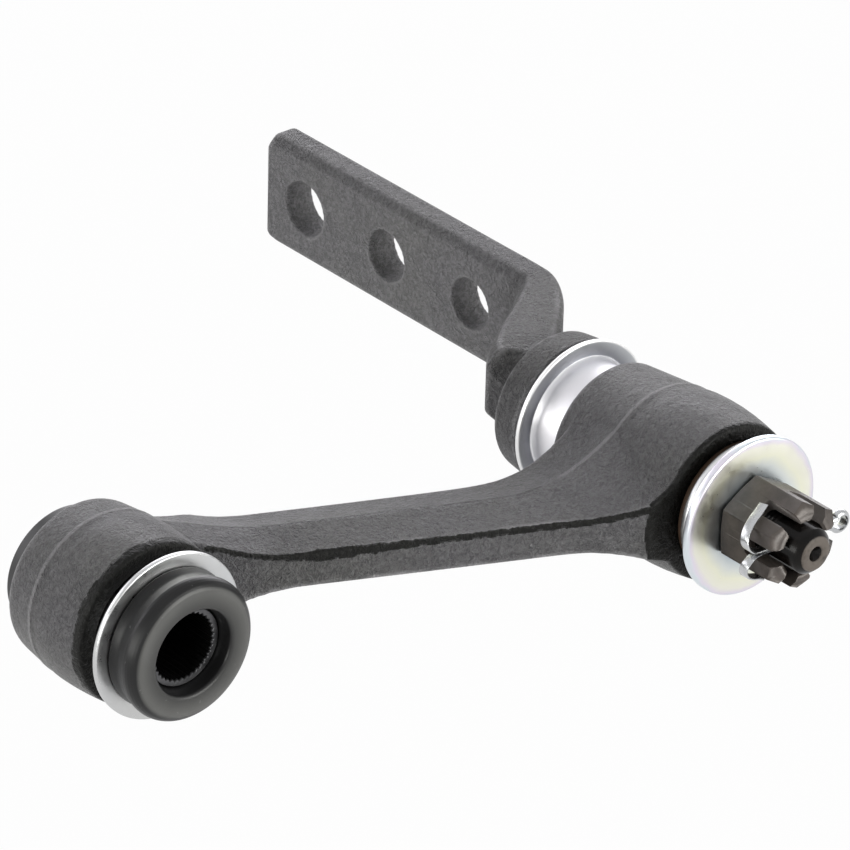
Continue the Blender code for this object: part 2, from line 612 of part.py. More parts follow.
def make_arm():
    material = finish_material("arm_black", (0.075, 0.073, 0.075), 0.5, 0.0)
    link_reach = 0.66 * LINK_BOSS_RADIUS
    root_reach = 0.5 * PIVOT_BOSS_RADIUS
    places = []
    for k in range(10):
        places.append(link_reach + (BEAM_LINK_SWELL - link_reach) * k / 9 - ARM_LENGTH)
    for k in range(13):
        places.append((BEAM_ROOT_START - root_reach) * k / 12 - BEAM_ROOT_START)
    arm = skin("idler_arm", [beam_section(x) for x in places], material)
    pivot_boss = turn("pivot_boss", boss_profile(PIVOT_BOSS_RADIUS, 0, PIVOT_BOSS_FRONT, PIVOT_BOSS_REAR,
                                                 PIVOT_BOSS_FRONT_DRAFT, PIVOT_BOSS_REAR_DRAFT,
                                                 PIVOT_BOSS_BULGE, PIVOT_BOSS_EDGE),
                      steps=BOSS_STEPS, closed=False)
    add_boolean(arm, as_tool(pivot_boss), "UNION")
    link_boss = turn("link_boss", boss_profile(LINK_BOSS_RADIUS, LINK_PARTING, LINK_BOSS_FRONT, LINK_BOSS_REAR,
                                               LINK_BOSS_FRONT_DRAFT, LINK_BOSS_REAR_DRAFT,
                                               LINK_BOSS_BULGE, LINK_BOSS_EDGE),
                     steps=BOSS_STEPS, closed=False)
    link_boss.location = LINK_CENTRE
    add_boolean(arm, as_tool(link_boss), "UNION")
    pivot_bore = turn("pivot_bore", [(0, PIVOT_BOSS_REAR + MM), (PIVOT_BORE, PIVOT_BOSS_REAR + MM),
                                     (PIVOT_BORE, ARM_FRONT_Y - MM), (0, ARM_FRONT_Y - MM)], closed=False)
    add_boolean(arm, as_tool(pivot_bore), "DIFFERENCE")
    link_bore = turn("link_bore", [(0, LINK_REAR_Y + MM), (LINK_BORE, LINK_REAR_Y + MM),
                                   (LINK_BORE, LINK_FRONT_Y - MM), (0, LINK_FRONT_Y - MM)], closed=False)
    link_bore.location = LINK_CENTRE
    add_boolean(arm, as_tool(link_bore), "DIFFERENCE")
    return arm


def make_link_bush():
    steel = finish_material("link_shell_zinc", (0.66, 0.67, 0.69), 0.28, 1.0)
    rear = LINK_SHELL_REAR_Y
    edge = CLEARANCE
    shell = turn(
        "link_bush_shell",
        [
            (LINK_SHELL_BORE, rear),
            (LINK_SHELL_RADIUS - edge, rear),
            (LINK_SHELL_RADIUS, rear - edge),
            (LINK_SHELL_RADIUS, LINK_FLANGE_BACK_Y),
            (LINK_FLANGE_RADIUS - edge, LINK_FLANGE_BACK_Y),
            (LINK_FLANGE_RADIUS, LINK_FLANGE_BACK_Y - edge),
            (LINK_FLANGE_RADIUS, LINK_FLANGE_FRONT_Y + 2 * edge),
            (LINK_FLANGE_RADIUS - 2 * edge, LINK_FLANGE_FRONT_Y),
            (LINK_SHELL_BORE, LINK_FLANGE_FRONT_Y),
        ],
        steel,
    )
    shell.location = LINK_CENTRE
    rubber_finish = finish_material("link_rubber", (0.06, 0.06, 0.062), 0.45, 0.0)
    neck = LINK_FLANGE_FRONT_Y - CLEARANCE
    face = LINK_BULB_FRONT_Y
    seat = LINK_SLEEVE_FRONT_Y
    bulb = []
    for step in range(7):
        angle = radians(-25 + step * 115 / 6)
        bulb.append((LINK_BULB_RADIUS - 3.2 * MM * (1 - cos(angle)), face + 3.4 * MM * (1 - sin(angle))))
    rubber = turn(
        "link_bush_rubber",
        [
            (LINK_RUBBER_BORE, rear - LINK_RUBBER_RECESS),
            (LINK_RUBBER_RADIUS, rear - LINK_RUBBER_RECESS),
            (LINK_RUBBER_RADIUS, neck),
            (LINK_NECK_RADIUS + 0.5 * MM, neck),
            (LINK_NECK_RADIUS, neck - 0.3 * LINK_BULB_LENGTH),
        ]
        + bulb
        + [
            (LINK_MOUTH_RADIUS, face),
            (LINK_MOUTH_RADIUS - LINK_LIP, face + 0.6 * LINK_LIP),
            (LINK_RUBBER_BORE, seat),
        ],
        rubber_finish,
    )
    rubber.location = LINK_CENTRE


# The sleeve's bore is cut into fine teeth that grip the link's stud
def make_link_sleeve():
    material = finish_material("link_sleeve_steel", (0.2, 0.2, 0.21), 0.4, 1.0)
    count = 2 * LINK_SERRATIONS
    front = LINK_SLEEVE_FRONT_Y
    rear = LINK_SHELL_REAR_Y + LINK_SLEEVE_REAR
    bm = bmesh.new()
    loops = []
    for outer, y in ((False, front), (True, front), (True, rear), (False, rear)):
        loop = []
        for k in range(count):
            angle = 2 * pi * k / count
            radius = LINK_SLEEVE_RADIUS if outer else LINK_SLEEVE_BORE - LINK_SERRATION * (k % 2)
            loop.append(bm.verts.new((radius * cos(angle), y, radius * sin(angle))))
        loops.append(loop)
    for near, far in zip(loops, loops[1:] + loops[:1]):
        for k in range(count):
            n = (k + 1) % count
            bm.faces.new((near[k], near[n], far[n], far[k]))
    sleeve = link_mesh("link_sleeve", bm, material)
    smooth_round(sleeve, 20)
    sleeve.location = LINK_CENTRE


clear_scene()
make_bracket()
make_spool()
make_pivot_bushes()
make_front_rings()
make_nut()
make_split_pin()
make_arm()
make_link_bush()
make_link_sleeve()
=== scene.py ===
import bmesh
import bpy
import numpy as np
from mathutils import Matrix, Vector


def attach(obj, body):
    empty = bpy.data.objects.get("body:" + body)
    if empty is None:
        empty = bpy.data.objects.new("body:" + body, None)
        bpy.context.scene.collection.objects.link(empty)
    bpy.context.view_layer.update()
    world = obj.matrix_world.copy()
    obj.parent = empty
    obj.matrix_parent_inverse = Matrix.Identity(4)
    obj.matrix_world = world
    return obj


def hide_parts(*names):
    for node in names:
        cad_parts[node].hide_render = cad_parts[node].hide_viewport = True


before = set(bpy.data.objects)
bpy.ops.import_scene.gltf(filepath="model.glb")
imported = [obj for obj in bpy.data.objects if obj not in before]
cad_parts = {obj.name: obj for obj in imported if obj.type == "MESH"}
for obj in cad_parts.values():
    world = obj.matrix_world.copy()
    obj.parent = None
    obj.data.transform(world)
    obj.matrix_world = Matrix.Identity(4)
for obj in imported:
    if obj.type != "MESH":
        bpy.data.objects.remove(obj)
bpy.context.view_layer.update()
mm = 0.001
weld = 0.0005                 # corners nearer than this become one, in millimetres
pivotAxis = (0.0, 0.0)        # x and z of the arm's pivot axis, in millimetres
linkAxis = (-156.8, 1.0)      # x and z of the link bush's axis


def newObject(name, data):
    made = bpy.data.objects.new(name, data)
    bpy.context.scene.collection.objects.link(made)
    return made


# Corner numbers of the quads between rows and columns of a grid, wrapped round where asked
def gridFaces(rows, cols, wrapRows, wrapCols):
    i = np.arange(rows if wrapRows else rows - 1)
    j = np.arange(cols if wrapCols else cols - 1)
    i, j = np.meshgrid(i, j, indexing="ij")
    nextI = (i + 1) % rows
    nextJ = (j + 1) % cols
    quads = [i * cols + j, nextI * cols + j, nextI * cols + nextJ, i * cols + nextJ]
    return np.stack(quads, axis=-1).reshape(-1, 4)


# coords are millimetres and faces are quads; ends are whole loops of corners that close the mouths
def meshPiece(name, coords, faces, ends=(), smooth=True):
    mesh = bpy.data.meshes.new(name)
    allFaces = faces.tolist() + [list(loop) for loop in ends]
    mesh.from_pydata((coords.reshape(-1, 3) * mm).tolist(), [], allFaces)
    bm = bmesh.new()
    bm.from_mesh(mesh)
    bmesh.ops.remove_doubles(bm, verts=bm.verts, dist=weld * mm)
    bmesh.ops.dissolve_degenerate(bm, edges=bm.edges, dist=0.1 * weld * mm)
    bmesh.ops.recalc_face_normals(bm, faces=bm.faces)
    bm.to_mesh(mesh)
    bm.free()
    if smooth:
        mesh.shade_smooth()
    return newObject(name, mesh)


# Each corner of a closed outline becomes a small curve: (1-t)^2 a + 2t(1-t) corner + t^2 b, where a and b
# lie the cut's length before and after the corner, and never past 0.48 of the edge they lie on.
# corners is (..., n, 2), and cuts is one length or n of them.
def softCorners(corners, cuts, steps=4):
    cut = np.asarray(cuts, float)[..., None]
    t = np.linspace(0, 1, steps)[:, None]

    def cutPoints(neighbours):
        edge = neighbours - corners
        length = np.linalg.norm(edge, axis=-1, keepdims=True) + 1e-9
        return (corners + edge / length * np.minimum(cut, 0.48 * length))[..., None, :]

    a = cutPoints(np.roll(corners, 1, axis=-2))
    b = cutPoints(np.roll(corners, -1, axis=-2))
    curve = (1 - t) ** 2 * a + 2 * t * (1 - t) * corners[..., None, :] + t ** 2 * b
    return curve.reshape(*corners.shape[:-2], -1, 2)


# Angles of equal steps once round
def around(steps):
    return np.linspace(0, 2 * np.pi, steps, endpoint=False)


# Loops about an axis along y: point = (axis x + r cos t, y, axis z + r sin t)
def roundPoints(r, y, t, axis=pivotAxis):
    x = axis[0] + r * np.cos(t)
    z = axis[1] + r * np.sin(t)
    return np.stack([x, np.broadcast_to(y, x.shape), z], axis=-1)


# One loop for each row (radius, y)
def turnedPoints(rows, t, axis=pivotAxis):
    return roundPoints(rows[:, :1], rows[:, 1:2], t, axis)


# A closed ring; outline rows are (radius, y, cut at the corner)
def turned(name, outline, axis=pivotAxis, steps=128, cornerSteps=4):
    rows = np.array(outline, float)
    profile = softCorners(rows[:, :2], rows[:, 2], cornerSteps)
    points = turnedPoints(profile, around(steps), axis)
    return meshPiece(name, points, gridFaces(*points.shape[:2], True, True))


# A closed tube through loops of (radius, y), each a number or an array over the angles t
def looped(name, loops, t, axis=pivotAxis, smooth=True):
    points = np.stack([roundPoints(r, y, t, axis) for r, y in loops])
    return meshPiece(name, points, gridFaces(len(loops), len(t), True, True), smooth=smooth)


# A closed section carried along stations: points is (stations, around, 3)
def loft(name, points, smooth=True):
    rows, cols = points.shape[:2]
    first = np.arange(cols)
    last = (rows - 1) * cols + np.arange(cols)
    return meshPiece(name, points, gridFaces(rows, cols, False, True), ends=(first, last), smooth=smooth)


# Bakes a piece's modifiers into its mesh
def settle(piece):
    graph = bpy.context.evaluated_depsgraph_get()
    made = bpy.data.meshes.new_from_object(piece.evaluated_get(graph))
    old = piece.data
    piece.modifiers.clear()
    piece.data = made
    made.name = old.name
    bpy.data.meshes.remove(old)


def cutWith(piece, tool):
    change = piece.modifiers.new("cut", "BOOLEAN")
    change.operation = "DIFFERENCE"
    change.solver = "EXACT"
    change.object = tool
    settle(piece)
    bpy.data.objects.remove(tool)


# A small bevel on the edges sharper than angle, in degrees
def softEdges(piece, width, angle, segments):
    bevel = piece.modifiers.new("soft", "BEVEL")
    bevel.width = width * mm
    bevel.segments = segments
    bevel.limit_method = "ANGLE"
    bevel.angle_limit = np.radians(angle)
    settle(piece)
    piece.data.shade_smooth()


# Joins overlapping closed pieces into one skin of small quads, as a die fills out a forging
def fused(name, parts, voxel):
    mesh = bpy.data.meshes.new(name)
    bm = bmesh.new()
    for part in parts:
        bm.from_mesh(part.data)
        bpy.data.objects.remove(part)
    bm.to_mesh(mesh)
    bm.free()
    piece = newObject(name, mesh)
    remesh = piece.modifiers.new("fuse", "REMESH")
    remesh.mode = "VOXEL"
    remesh.voxel_size = voxel * mm
    remesh.use_smooth_shade = True
    settle(piece)
    return piece


def setAttributes(mesh, **fields):
    for name, values in fields.items():
        layer = mesh.attributes.new(name, "FLOAT", "POINT")
        layer.data.foreach_set("value", np.asarray(values, np.float32))


# Each corner's mean of its neighbours, over the edge list
def neighbourMean(co, ends):
    a = np.concatenate([ends[:, 0], ends[:, 1]])
    b = np.concatenate([ends[:, 1], ends[:, 0]])
    count = np.maximum(np.bincount(a, minlength=len(co)), 1)
    sums = [np.bincount(a, co[b, k], minlength=len(co)) for k in range(co.shape[1])]
    return np.stack(sums, axis=-1) / count[:, None]


forging = {"rounds": 3, "pull": 0.5, "push": 0.52, "reach": 6}


# Rounds the skin: a corner moves by pull towards its neighbours' mean and then by push away from it, so the
# piece keeps its size. The attribute "edge" is how far a corner stands above its own widely smoothed skin,
# in millimetres.
def forgingSkin(mesh):
    co = np.empty(len(mesh.vertices) * 3)
    mesh.vertices.foreach_get("co", co)
    co = co.reshape(-1, 3)
    ends = np.empty(len(mesh.edges) * 2, np.int32)
    mesh.edges.foreach_get("vertices", ends)
    ends = ends.reshape(-1, 2)
    for _ in range(forging["rounds"]):
        co = co + forging["pull"] * (neighbourMean(co, ends) - co)
        co = co - forging["push"] * (neighbourMean(co, ends) - co)
    mesh.vertices.foreach_set("co", co.ravel())
    mesh.update()
    normals = np.empty(co.size)
    mesh.vertices.foreach_get("normal", normals)
    wide = co
    for _ in range(forging["reach"]):
        wide = neighbourMean(wide, ends)
    height = np.einsum("ij,ij->i", co - wide, normals.reshape(-1, 3)) / mm
    setAttributes(mesh, edge=height)
    mesh.shade_smooth()
    return co / mm


def smoothStep(value, low, high):
    t = np.clip((value - low) / (high - low), 0, 1)
    return t * t * (3 - 2 * t)


def softMax(a, b, radius):
    return (a + b + np.sqrt((a - b) ** 2 + radius ** 2)) / 2


# Ragged line: four sines whose periods share no beat
def wander(t):
    return (0.4 * np.sin(t) + 0.3 * np.sin(2.7 * t + 1) + 0.25 * np.sin(6.1 * t + 2)
            + 0.2 * np.sin(13.3 * t + 3))


def place(piece, body, slotName, *replaced):
    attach(piece, body)
    if replaced:
        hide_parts(*replaced)
    return piece


arm = {
    "length": 156.8, "rise": 1.0, "parting": 36.4, "voxel": 0.64,
    "halfThickness": 11.5, "pivotBend": 49.5, "linkBend": 25.8, "bendBlend": 1.6,
    "ridge": 7.6, "edge": 4.9, "edgeMost": 0.86, "rearEdgeMost": 0.8, "soft": 0.6,
    "flareSpan": 24.0, "rootStart": 50.0, "rootSpread": 3.3, "rootRear": 12.3, "rootBlend": 3.2,
    "rootSwell": 44.0, "rootRidge": 6.4, "rootEdge": 6.0, "frontMost": -25.7, "rearMost": 45.2,
    "linkSwell": 48.0, "linkRidge": 5.0, "linkEdge": 6.7,
    "linkStations": (18.3, 48, 34), "beamStations": (-108.8, -50, 60), "rootStations": (-50, -17.0, 40),
    "pivotBoss": {"radius": 23.0, "parting": 0, "front": 26.0, "rear": 20.0, "frontDraft": 1.0,
                  "rearDraft": 2.1, "bulge": 0.9, "edge": 1.2, "bore": 16.0},
    "linkBoss": {"radius": 23.3, "parting": 36.4, "front": 19.9, "rear": 11.2, "frontDraft": 0.9,
                 "rearDraft": 1.5, "bulge": 0.3, "edge": 2.4, "bore": 17.5},
}


# Grows with the square of how far a place lies inside the swell that begins at start
def flare(distance, start):
    return (np.maximum(0, start - distance) / arm["flareSpan"]) ** 2


# The beam's lines at x: front and rear faces parallel to y = slope (-x - bend), the ridge between them,
# and the heights of the ridge and of the side edges, which grow in each swell
def beamLines(x):
    a = arm
    toPivot = -x
    toLink = x + a["length"]
    slope = a["parting"] / (a["length"] - a["pivotBend"] - a["linkBend"])
    line = slope * (toPivot - a["pivotBend"])
    half = a["halfThickness"] * np.hypot(1, slope)
    spread = a["rootSpread"] * flare(toPivot, a["rootStart"])
    root = flare(toPivot, a["rootSwell"])
    link = flare(toLink, a["linkSwell"])
    front = np.maximum(line - half - spread, a["frontMost"])
    rear = softMax(line + half, a["rootRear"] + 0.5 * spread, a["rootBlend"])
    rear = np.minimum(rear, a["rearMost"])
    ridgeY = softMax(line, 0, a["bendBlend"])
    ridgeY = a["parting"] - softMax(a["parting"] - ridgeY, 0, a["bendBlend"])
    ridge = a["ridge"] + a["rootRidge"] * root + a["linkRidge"] * link
    edge = a["edge"] + a["rootEdge"] * root + a["linkEdge"] * link
    edge = np.minimum(edge, a["edgeMost"] * ridge)
    return front, rear, ridgeY, ridge, edge, a["rise"] * toPivot / a["length"]


# Hexagonal section through those lines, its six corners softened
def beamSections(x):
    front, rear, ridgeY, ridge, edge, middle = beamLines(x)
    rearEdge = np.minimum(edge, arm["rearEdgeMost"] * ridge)
    corners = np.stack([
        np.stack([rear, rearEdge], -1), np.stack([ridgeY, ridge], -1), np.stack([front, edge], -1),
        np.stack([front, -edge], -1), np.stack([ridgeY, -ridge], -1), np.stack([rear, -rearEdge], -1),
    ], axis=-2)
    outline = softCorners(corners, arm["soft"])
    outline[..., 1] += middle[:, None]
    across = np.broadcast_to(x[:, None, None], outline.shape[:2] + (1,))
    return np.concatenate([across, outline], axis=-1)


boss = {"steps": 160, "sideStations": (0.06, 1, 7), "flash": 0.3, "flashDepth": 0.9, "sideCut": 0.1,
        "frontCut": 0.8, "boreCut": 0.5}


# Section of a boss: its side stands in by the flash beside the parting line, and in front of it
# r = radius + bulge sin(pi t) - draft t^2, with t from 0 at the parting line to 1 at the front face
def bossOutline(radius, parting, front, rear, frontDraft, rearDraft, bulge, edge, bore):
    t = np.linspace(*boss["sideStations"])
    step = np.where(t < 0.1, boss["flash"], 0)
    side = np.stack([radius - step + bulge * np.sin(np.pi * t) - frontDraft * t * t, parting - front * t,
                     np.full(len(t), boss["sideCut"])], axis=-1)
    side[-1, 2] = boss["frontCut"]
    head = [(bore, parting + rear, boss["boreCut"]), (radius - rearDraft, parting + rear, edge),
            (radius - boss["flash"], parting + boss["flashDepth"], boss["sideCut"]),
            (radius, parting, boss["sideCut"])]
    return head + side.tolist() + [(bore, parting - front, boss["boreCut"])]


# Where the coat of the arm differs and where light and shade are painted on it; pairs are limits in
# millimetres between which a mark comes or goes
armMarks = {
    "rimRag": 0.35, "blackFrom": 0.42,
    "pivotGapShade": {"axis": pivotAxis, "waves": 9, "face": (23.9, 24.7), "rim": (-30, -26)},
    "linkGapShade": {"axis": linkAxis, "waves": 8, "face": (-19.9, -19.1), "rim": (-26.5, -24)},
    "creaseSpan": (-132, -24), "creaseLink": (-140, -134), "creasePivot": (24, 27),
    "creaseAt": (-132, -118, -112, -104, -94, -84, -75, -50, -24),
    "creaseWidth": (0.8, 0.8, 0.95, 1.75, 1.35, 1.1, 0.9, 0.95, 0.9),
    "creaseDrop": 0.5, "creaseBelow": 0.62, "creaseAbove": 1.15,
    "seamSpan": (-140, -16), "seamWidth": 0.7, "bossSide": (20, 21),
    "beamLink": (-136, -130), "beamPivot": (34, 44), "behindRidge": (-0.3, 0.5),
    "shade": 0.19, "rearPaintedLight": 0.5,
}


# Radius from a boss's axis, and 1 on the ragged rim of its front face, painted glossy black as shade where
# the bush flange or washer stands close in front of it
def bossGapShade(co, axis, waves, face, rim):
    x = co[:, 0] - axis[0]
    z = co[:, 2] - axis[1]
    radius = np.hypot(x, z)
    rag = armMarks["rimRag"] * wander(waves * np.arctan2(z, x))
    return radius, smoothStep(rag - co[:, 1], *face) * smoothStep(-radius, *rim)


# Quads whose four corners all lie in the black, on the painted gap shade and on the black crease, take the
# second finish
def blackCore(mesh, depth):
    corners = np.empty(len(mesh.loops), np.int32)
    mesh.loops.foreach_get("vertex_index", corners)
    deep = depth[corners.reshape(-1, 4)].min(axis=1) > armMarks["blackFrom"]
    mesh.polygons.foreach_set("material_index", deep.astype(np.int32))


def markArm(mesh, co):
    m = armMarks
    pivotRadius, pivotGapShade = bossGapShade(co, **m["pivotGapShade"])
    linkRadius, linkGapShade = bossGapShade(co, **m["linkGapShade"])
    # painted shade: the black rims of both bosses' front faces, in the gaps by the bush flange and washer
    glaze = np.maximum(pivotGapShade, linkGapShade)
    # crease: nearness to the beam's upper front corner, where a ragged black line dried
    x = np.clip(co[:, 0], *m["creaseSpan"])
    front, _, _, _, edge, middle = beamLines(x)
    below = edge - m["creaseDrop"] + middle - co[:, 2] + 0.25 * wander(1.3 * x)
    away = np.hypot(co[:, 1] - front, np.where(below > 0, m["creaseBelow"], m["creaseAbove"]) * below)
    width = np.interp(x, m["creaseAt"], m["creaseWidth"]) * (1 + 0.22 * wander(0.9 * x + 2))
    along = smoothStep(co[:, 0], *m["creaseLink"]) * smoothStep(-co[:, 0], *m["creasePivot"])
    crease = np.exp(-(away / width) ** 2) * along
    # seam: nearness to the dies' parting line, above 0 on the bosses and below 0 on the beam
    low, high = m["seamSpan"]
    ridgeY = beamLines(np.clip(co[:, 0], low, high))[2]
    ridgeY = np.where(co[:, 0] < low, arm["parting"], np.where(co[:, 0] > high, 0, ridgeY))
    onBeam = smoothStep(co[:, 0], *m["beamLink"]) * smoothStep(-co[:, 0], *m["beamPivot"])
    outer = smoothStep(pivotRadius, *m["bossSide"]) * smoothStep(linkRadius, *m["bossSide"])
    seam = np.exp(-((co[:, 1] - ridgeY) / m["seamWidth"]) ** 2) * outer * (1 - 2 * onBeam)
    # shade: painted light, how light the coat is painted; most on the beam's upper rear face, a painted
    # highlight
    behind = smoothStep(co[:, 1] - ridgeY, *m["behindRidge"]) * onBeam * (co[:, 2] > 0)
    setAttributes(mesh, glaze=glaze, crease=crease, seam=seam, shade=m["shade"] + m["rearPaintedLight"] * behind,
                  coarse=np.zeros(len(co)))
    blackCore(mesh, np.maximum(glaze, crease))


def makeArm():
    x = np.concatenate([np.linspace(*arm["linkStations"])[:-1] - arm["length"],
                        np.linspace(*arm["beamStations"])[:-1], np.linspace(*arm["rootStations"])])
    parts = [loft("beam", beamSections(x)),
             turned("pivotBoss", bossOutline(**arm["pivotBoss"]), pivotAxis, boss["steps"]),
             turned("linkBoss", bossOutline(**arm["linkBoss"]), linkAxis, boss["steps"])]
    piece = fused("armForging", parts, arm["voxel"])
    markArm(piece.data, forgingSkin(piece.data))
    return place(piece, "arm", "arm_coat", "idler_arm")


bracket = {
    "plateOffset": 18.0, "plateThickness": 9.58, "halfHeight": 17.0, "chamfer": 2.6, "backChamfer": 0.9,
    "corner": 1.8, "plateEnd": 185.68, "nearHole": 97.9, "holeSpacing": 35.6, "holeRadii": (7.6, 7.6, 8.2),
    "undercut": 15.5, "base": 44.1, "legReach": 50, "soft": 0.5, "voxel": 0.55,
    "collar": [(0, 44.1, 0), (20.0, 44.1, 1.2), (21.2, 34.3, 1.0), (0, 34.3, 0)], "collarSteps": 160,
    "onPlate": (72, 92), "onFlat": (-15.5, -13.5), "shade": 0.05, "platePaintedLight": 0.45, "flatPaintedLight": 0.5,
}


# Cubic through the rows: (2b + (c-a)t + (2a-5b+4c-d)t^2 + (3b-3c+d-a)t^3) / 2 on each stretch
def smoothRows(rows, steps):
    ends = np.concatenate([[2 * rows[0] - rows[1]], rows, [2 * rows[-1] - rows[-2]]])
    a, b, c, d = ends[:-3, None], ends[1:-2, None], ends[2:-1, None], ends[3:, None]
    t = np.linspace(0, 1, steps, endpoint=False)[None, :, None]
    path = 0.5 * (2 * b + (c - a) * t + (2 * a - 5 * b + 4 * c - d) * t ** 2
                  + (3 * b - 3 * c + d - a) * t ** 3)
    return np.concatenate([path.reshape(-1, rows.shape[1]), rows[-1:]])


# Eight-cornered bar: stations are (inner x, inner y, outer x, outer y, half height, top, under, back cut)
def barSections(stations):
    inner = stations[:, 0:2]
    outer = stations[:, 2:4]
    half, top, under, back = stations[:, 4:8].T
    width = np.linalg.norm(outer - inner, axis=1)
    corners = np.stack([
        np.stack([top, half], -1), np.stack([0 * half, half - top], -1),
        np.stack([0 * half, under - half], -1), np.stack([under, -half], -1),
        np.stack([width - back, -half], -1), np.stack([width, back - half], -1),
        np.stack([width, half - back], -1), np.stack([width - back, half], -1),
    ], axis=-2)
    outline = softCorners(corners, bracket["soft"], 3)
    across = (outer - inner) / width[:, None]
    plan = inner[:, None] + across[:, None] * outline[..., :1]
    return np.concatenate([plan, outline[..., 1:]], axis=-1)


def makeBracket():
    b = bracket
    front = b["plateOffset"]
    back = front + b["plateThickness"]
    base = b["base"]
    cut = b["chamfer"]
    rear = b["backChamfer"]
    under = b["undercut"]
    full = b["halfHeight"]

    def plateStations(y, half):
        one = np.ones_like(y)
        return np.stack([front * one, y, back * one, y, half * one, cut * one, cut * one, rear * one], -1)

    turn = np.linspace(np.pi / 2, 0, 7)
    endY = b["plateEnd"] - b["corner"] * (1 - np.cos(turn - np.pi / 2))
    end = plateStations(endY, full - b["corner"] * (1 - np.cos(turn)))
    plate = plateStations(np.linspace(b["plateEnd"] - b["corner"] - 2, base + b["legReach"], 40), full)
    # down from the plate, behind the spool and across to the collar
    leg = np.array([
        (front, base + b["legReach"], back, base + b["legReach"], full, cut, cut, rear),
        (front, base + 38, back, base + 36, full, cut, cut, rear),
        (front - 1.5, base + 32.7, back - 0.7, base + 29, full, 1.1 * cut, cut, 1.4 * rear),
        (front - 11.6, base + 24.1, back - 5.4, base + 20.5, full, 0.9 * cut, 0.3 * under, 2 * rear),
        (front - 24.1, base + 15.7, back - 13, base + 11.8, full, 0.9 * cut, 0.6 * under, 2 * rear),
        (-16.0, base + 8, 8.0, base + 5, full, 1.6 * cut, under, 2.6 * rear),
        (-16.4, base + 3, 5.5, base + 1.5, full, 2.8 * cut, 0.95 * under, 3 * rear),
        (-16.4, base - 3, 5.5, base - 3, full, 3.2 * cut, 0.9 * under, 3 * rear),
    ])
    bar = loft("bar", barSections(np.concatenate([end, plate, smoothRows(leg, 8)[1:]])))
    collar = turned("collar", b["collar"], steps=b["collarSteps"])
    t = around(64)
    past = np.array([front - 5, back + 5])[:, None]
    for index, radius in enumerate(b["holeRadii"]):
        y = b["nearHole"] + index * b["holeSpacing"] + radius * np.cos(t)
        hole = np.stack(np.broadcast_arrays(past, y, radius * np.sin(t)), axis=-1)
        cutWith(bar, loft("hole", hole))
    piece = fused("bracketForging", [bar, collar], b["voxel"])
    co = forgingSkin(piece.data)
    # painted light and shade: the leg and collar are painted darker than the plate, and the plate's flat side
    # lightest, as light falls on them
    onPlate = smoothStep(co[:, 1], *b["onPlate"])
    onFlat = smoothStep(-abs(co[:, 2]), *b["onFlat"])
    none = np.zeros(len(co))
    setAttributes(piece.data, glaze=none, crease=none, seam=none, coarse=none + 1,
                  shade=b["shade"] + onPlate * (b["platePaintedLight"] + b["flatPaintedLight"] * onFlat))
    return place(piece, "bracket", "bracket_coat", "frame_bracket")


# head rows are (radius, y); pilot rows are (radius, y from the pilot's end)
shaft = {
    "steps": 96, "head": [(0, 36.0), (8.5, 36.0), (8.5, -31.6), (7.0, -32.0)],
    "threadFrom": -32.1, "threadTo": -47.5, "threadRows": 130, "threadRadius": 7.0, "pitch": 1.27,
    "depth": 0.72, "fade": 1.2, "pilotEnd": -59.4,
    "pilot": [(6.4, 11.6), (6.4, 2.1), (6.25, 1.8), (4.7, 0.12), (4.5, 0), (2.4, 0), (2.15, 0.3), (0.2, 3.1),
              (0, 3.3)],
    "edge": 0.12, "edgeAngle": 40,
}


# Height field on the shaft: r(t, y) = radius - depth * triangle(y / pitch - t / 2pi), faded at both ends.
# The triangle's flanks are stretched and cut off, which leaves flat crests and roots.
def makeShaft():
    s = shaft
    t = around(s["steps"])
    y = np.linspace(s["threadFrom"], s["threadTo"], s["threadRows"])
    phase = (y[:, None] / s["pitch"] - t / (2 * np.pi)) % 1
    fade = np.minimum(smoothStep(s["threadFrom"] - y, 0, s["fade"]),
                      smoothStep(y - s["threadTo"], 0, s["fade"]))
    groove = np.clip(1.25 * abs(2 * phase - 1) - 0.12, 0, 1)
    thread = roundPoints(s["threadRadius"] - s["depth"] * groove * fade[:, None], y[:, None], t)
    pilot = np.array(s["pilot"])
    pilot[:, 1] += s["pilotEnd"]
    points = np.concatenate([turnedPoints(np.array(s["head"]), t), thread, turnedPoints(pilot, t)])
    piece = meshPiece("threadedShaft", points, gridFaces(len(points), s["steps"], False, True))
    softEdges(piece, s["edge"], s["edgeAngle"], 1)
    return place(piece, "bracket", "bracket_coat")


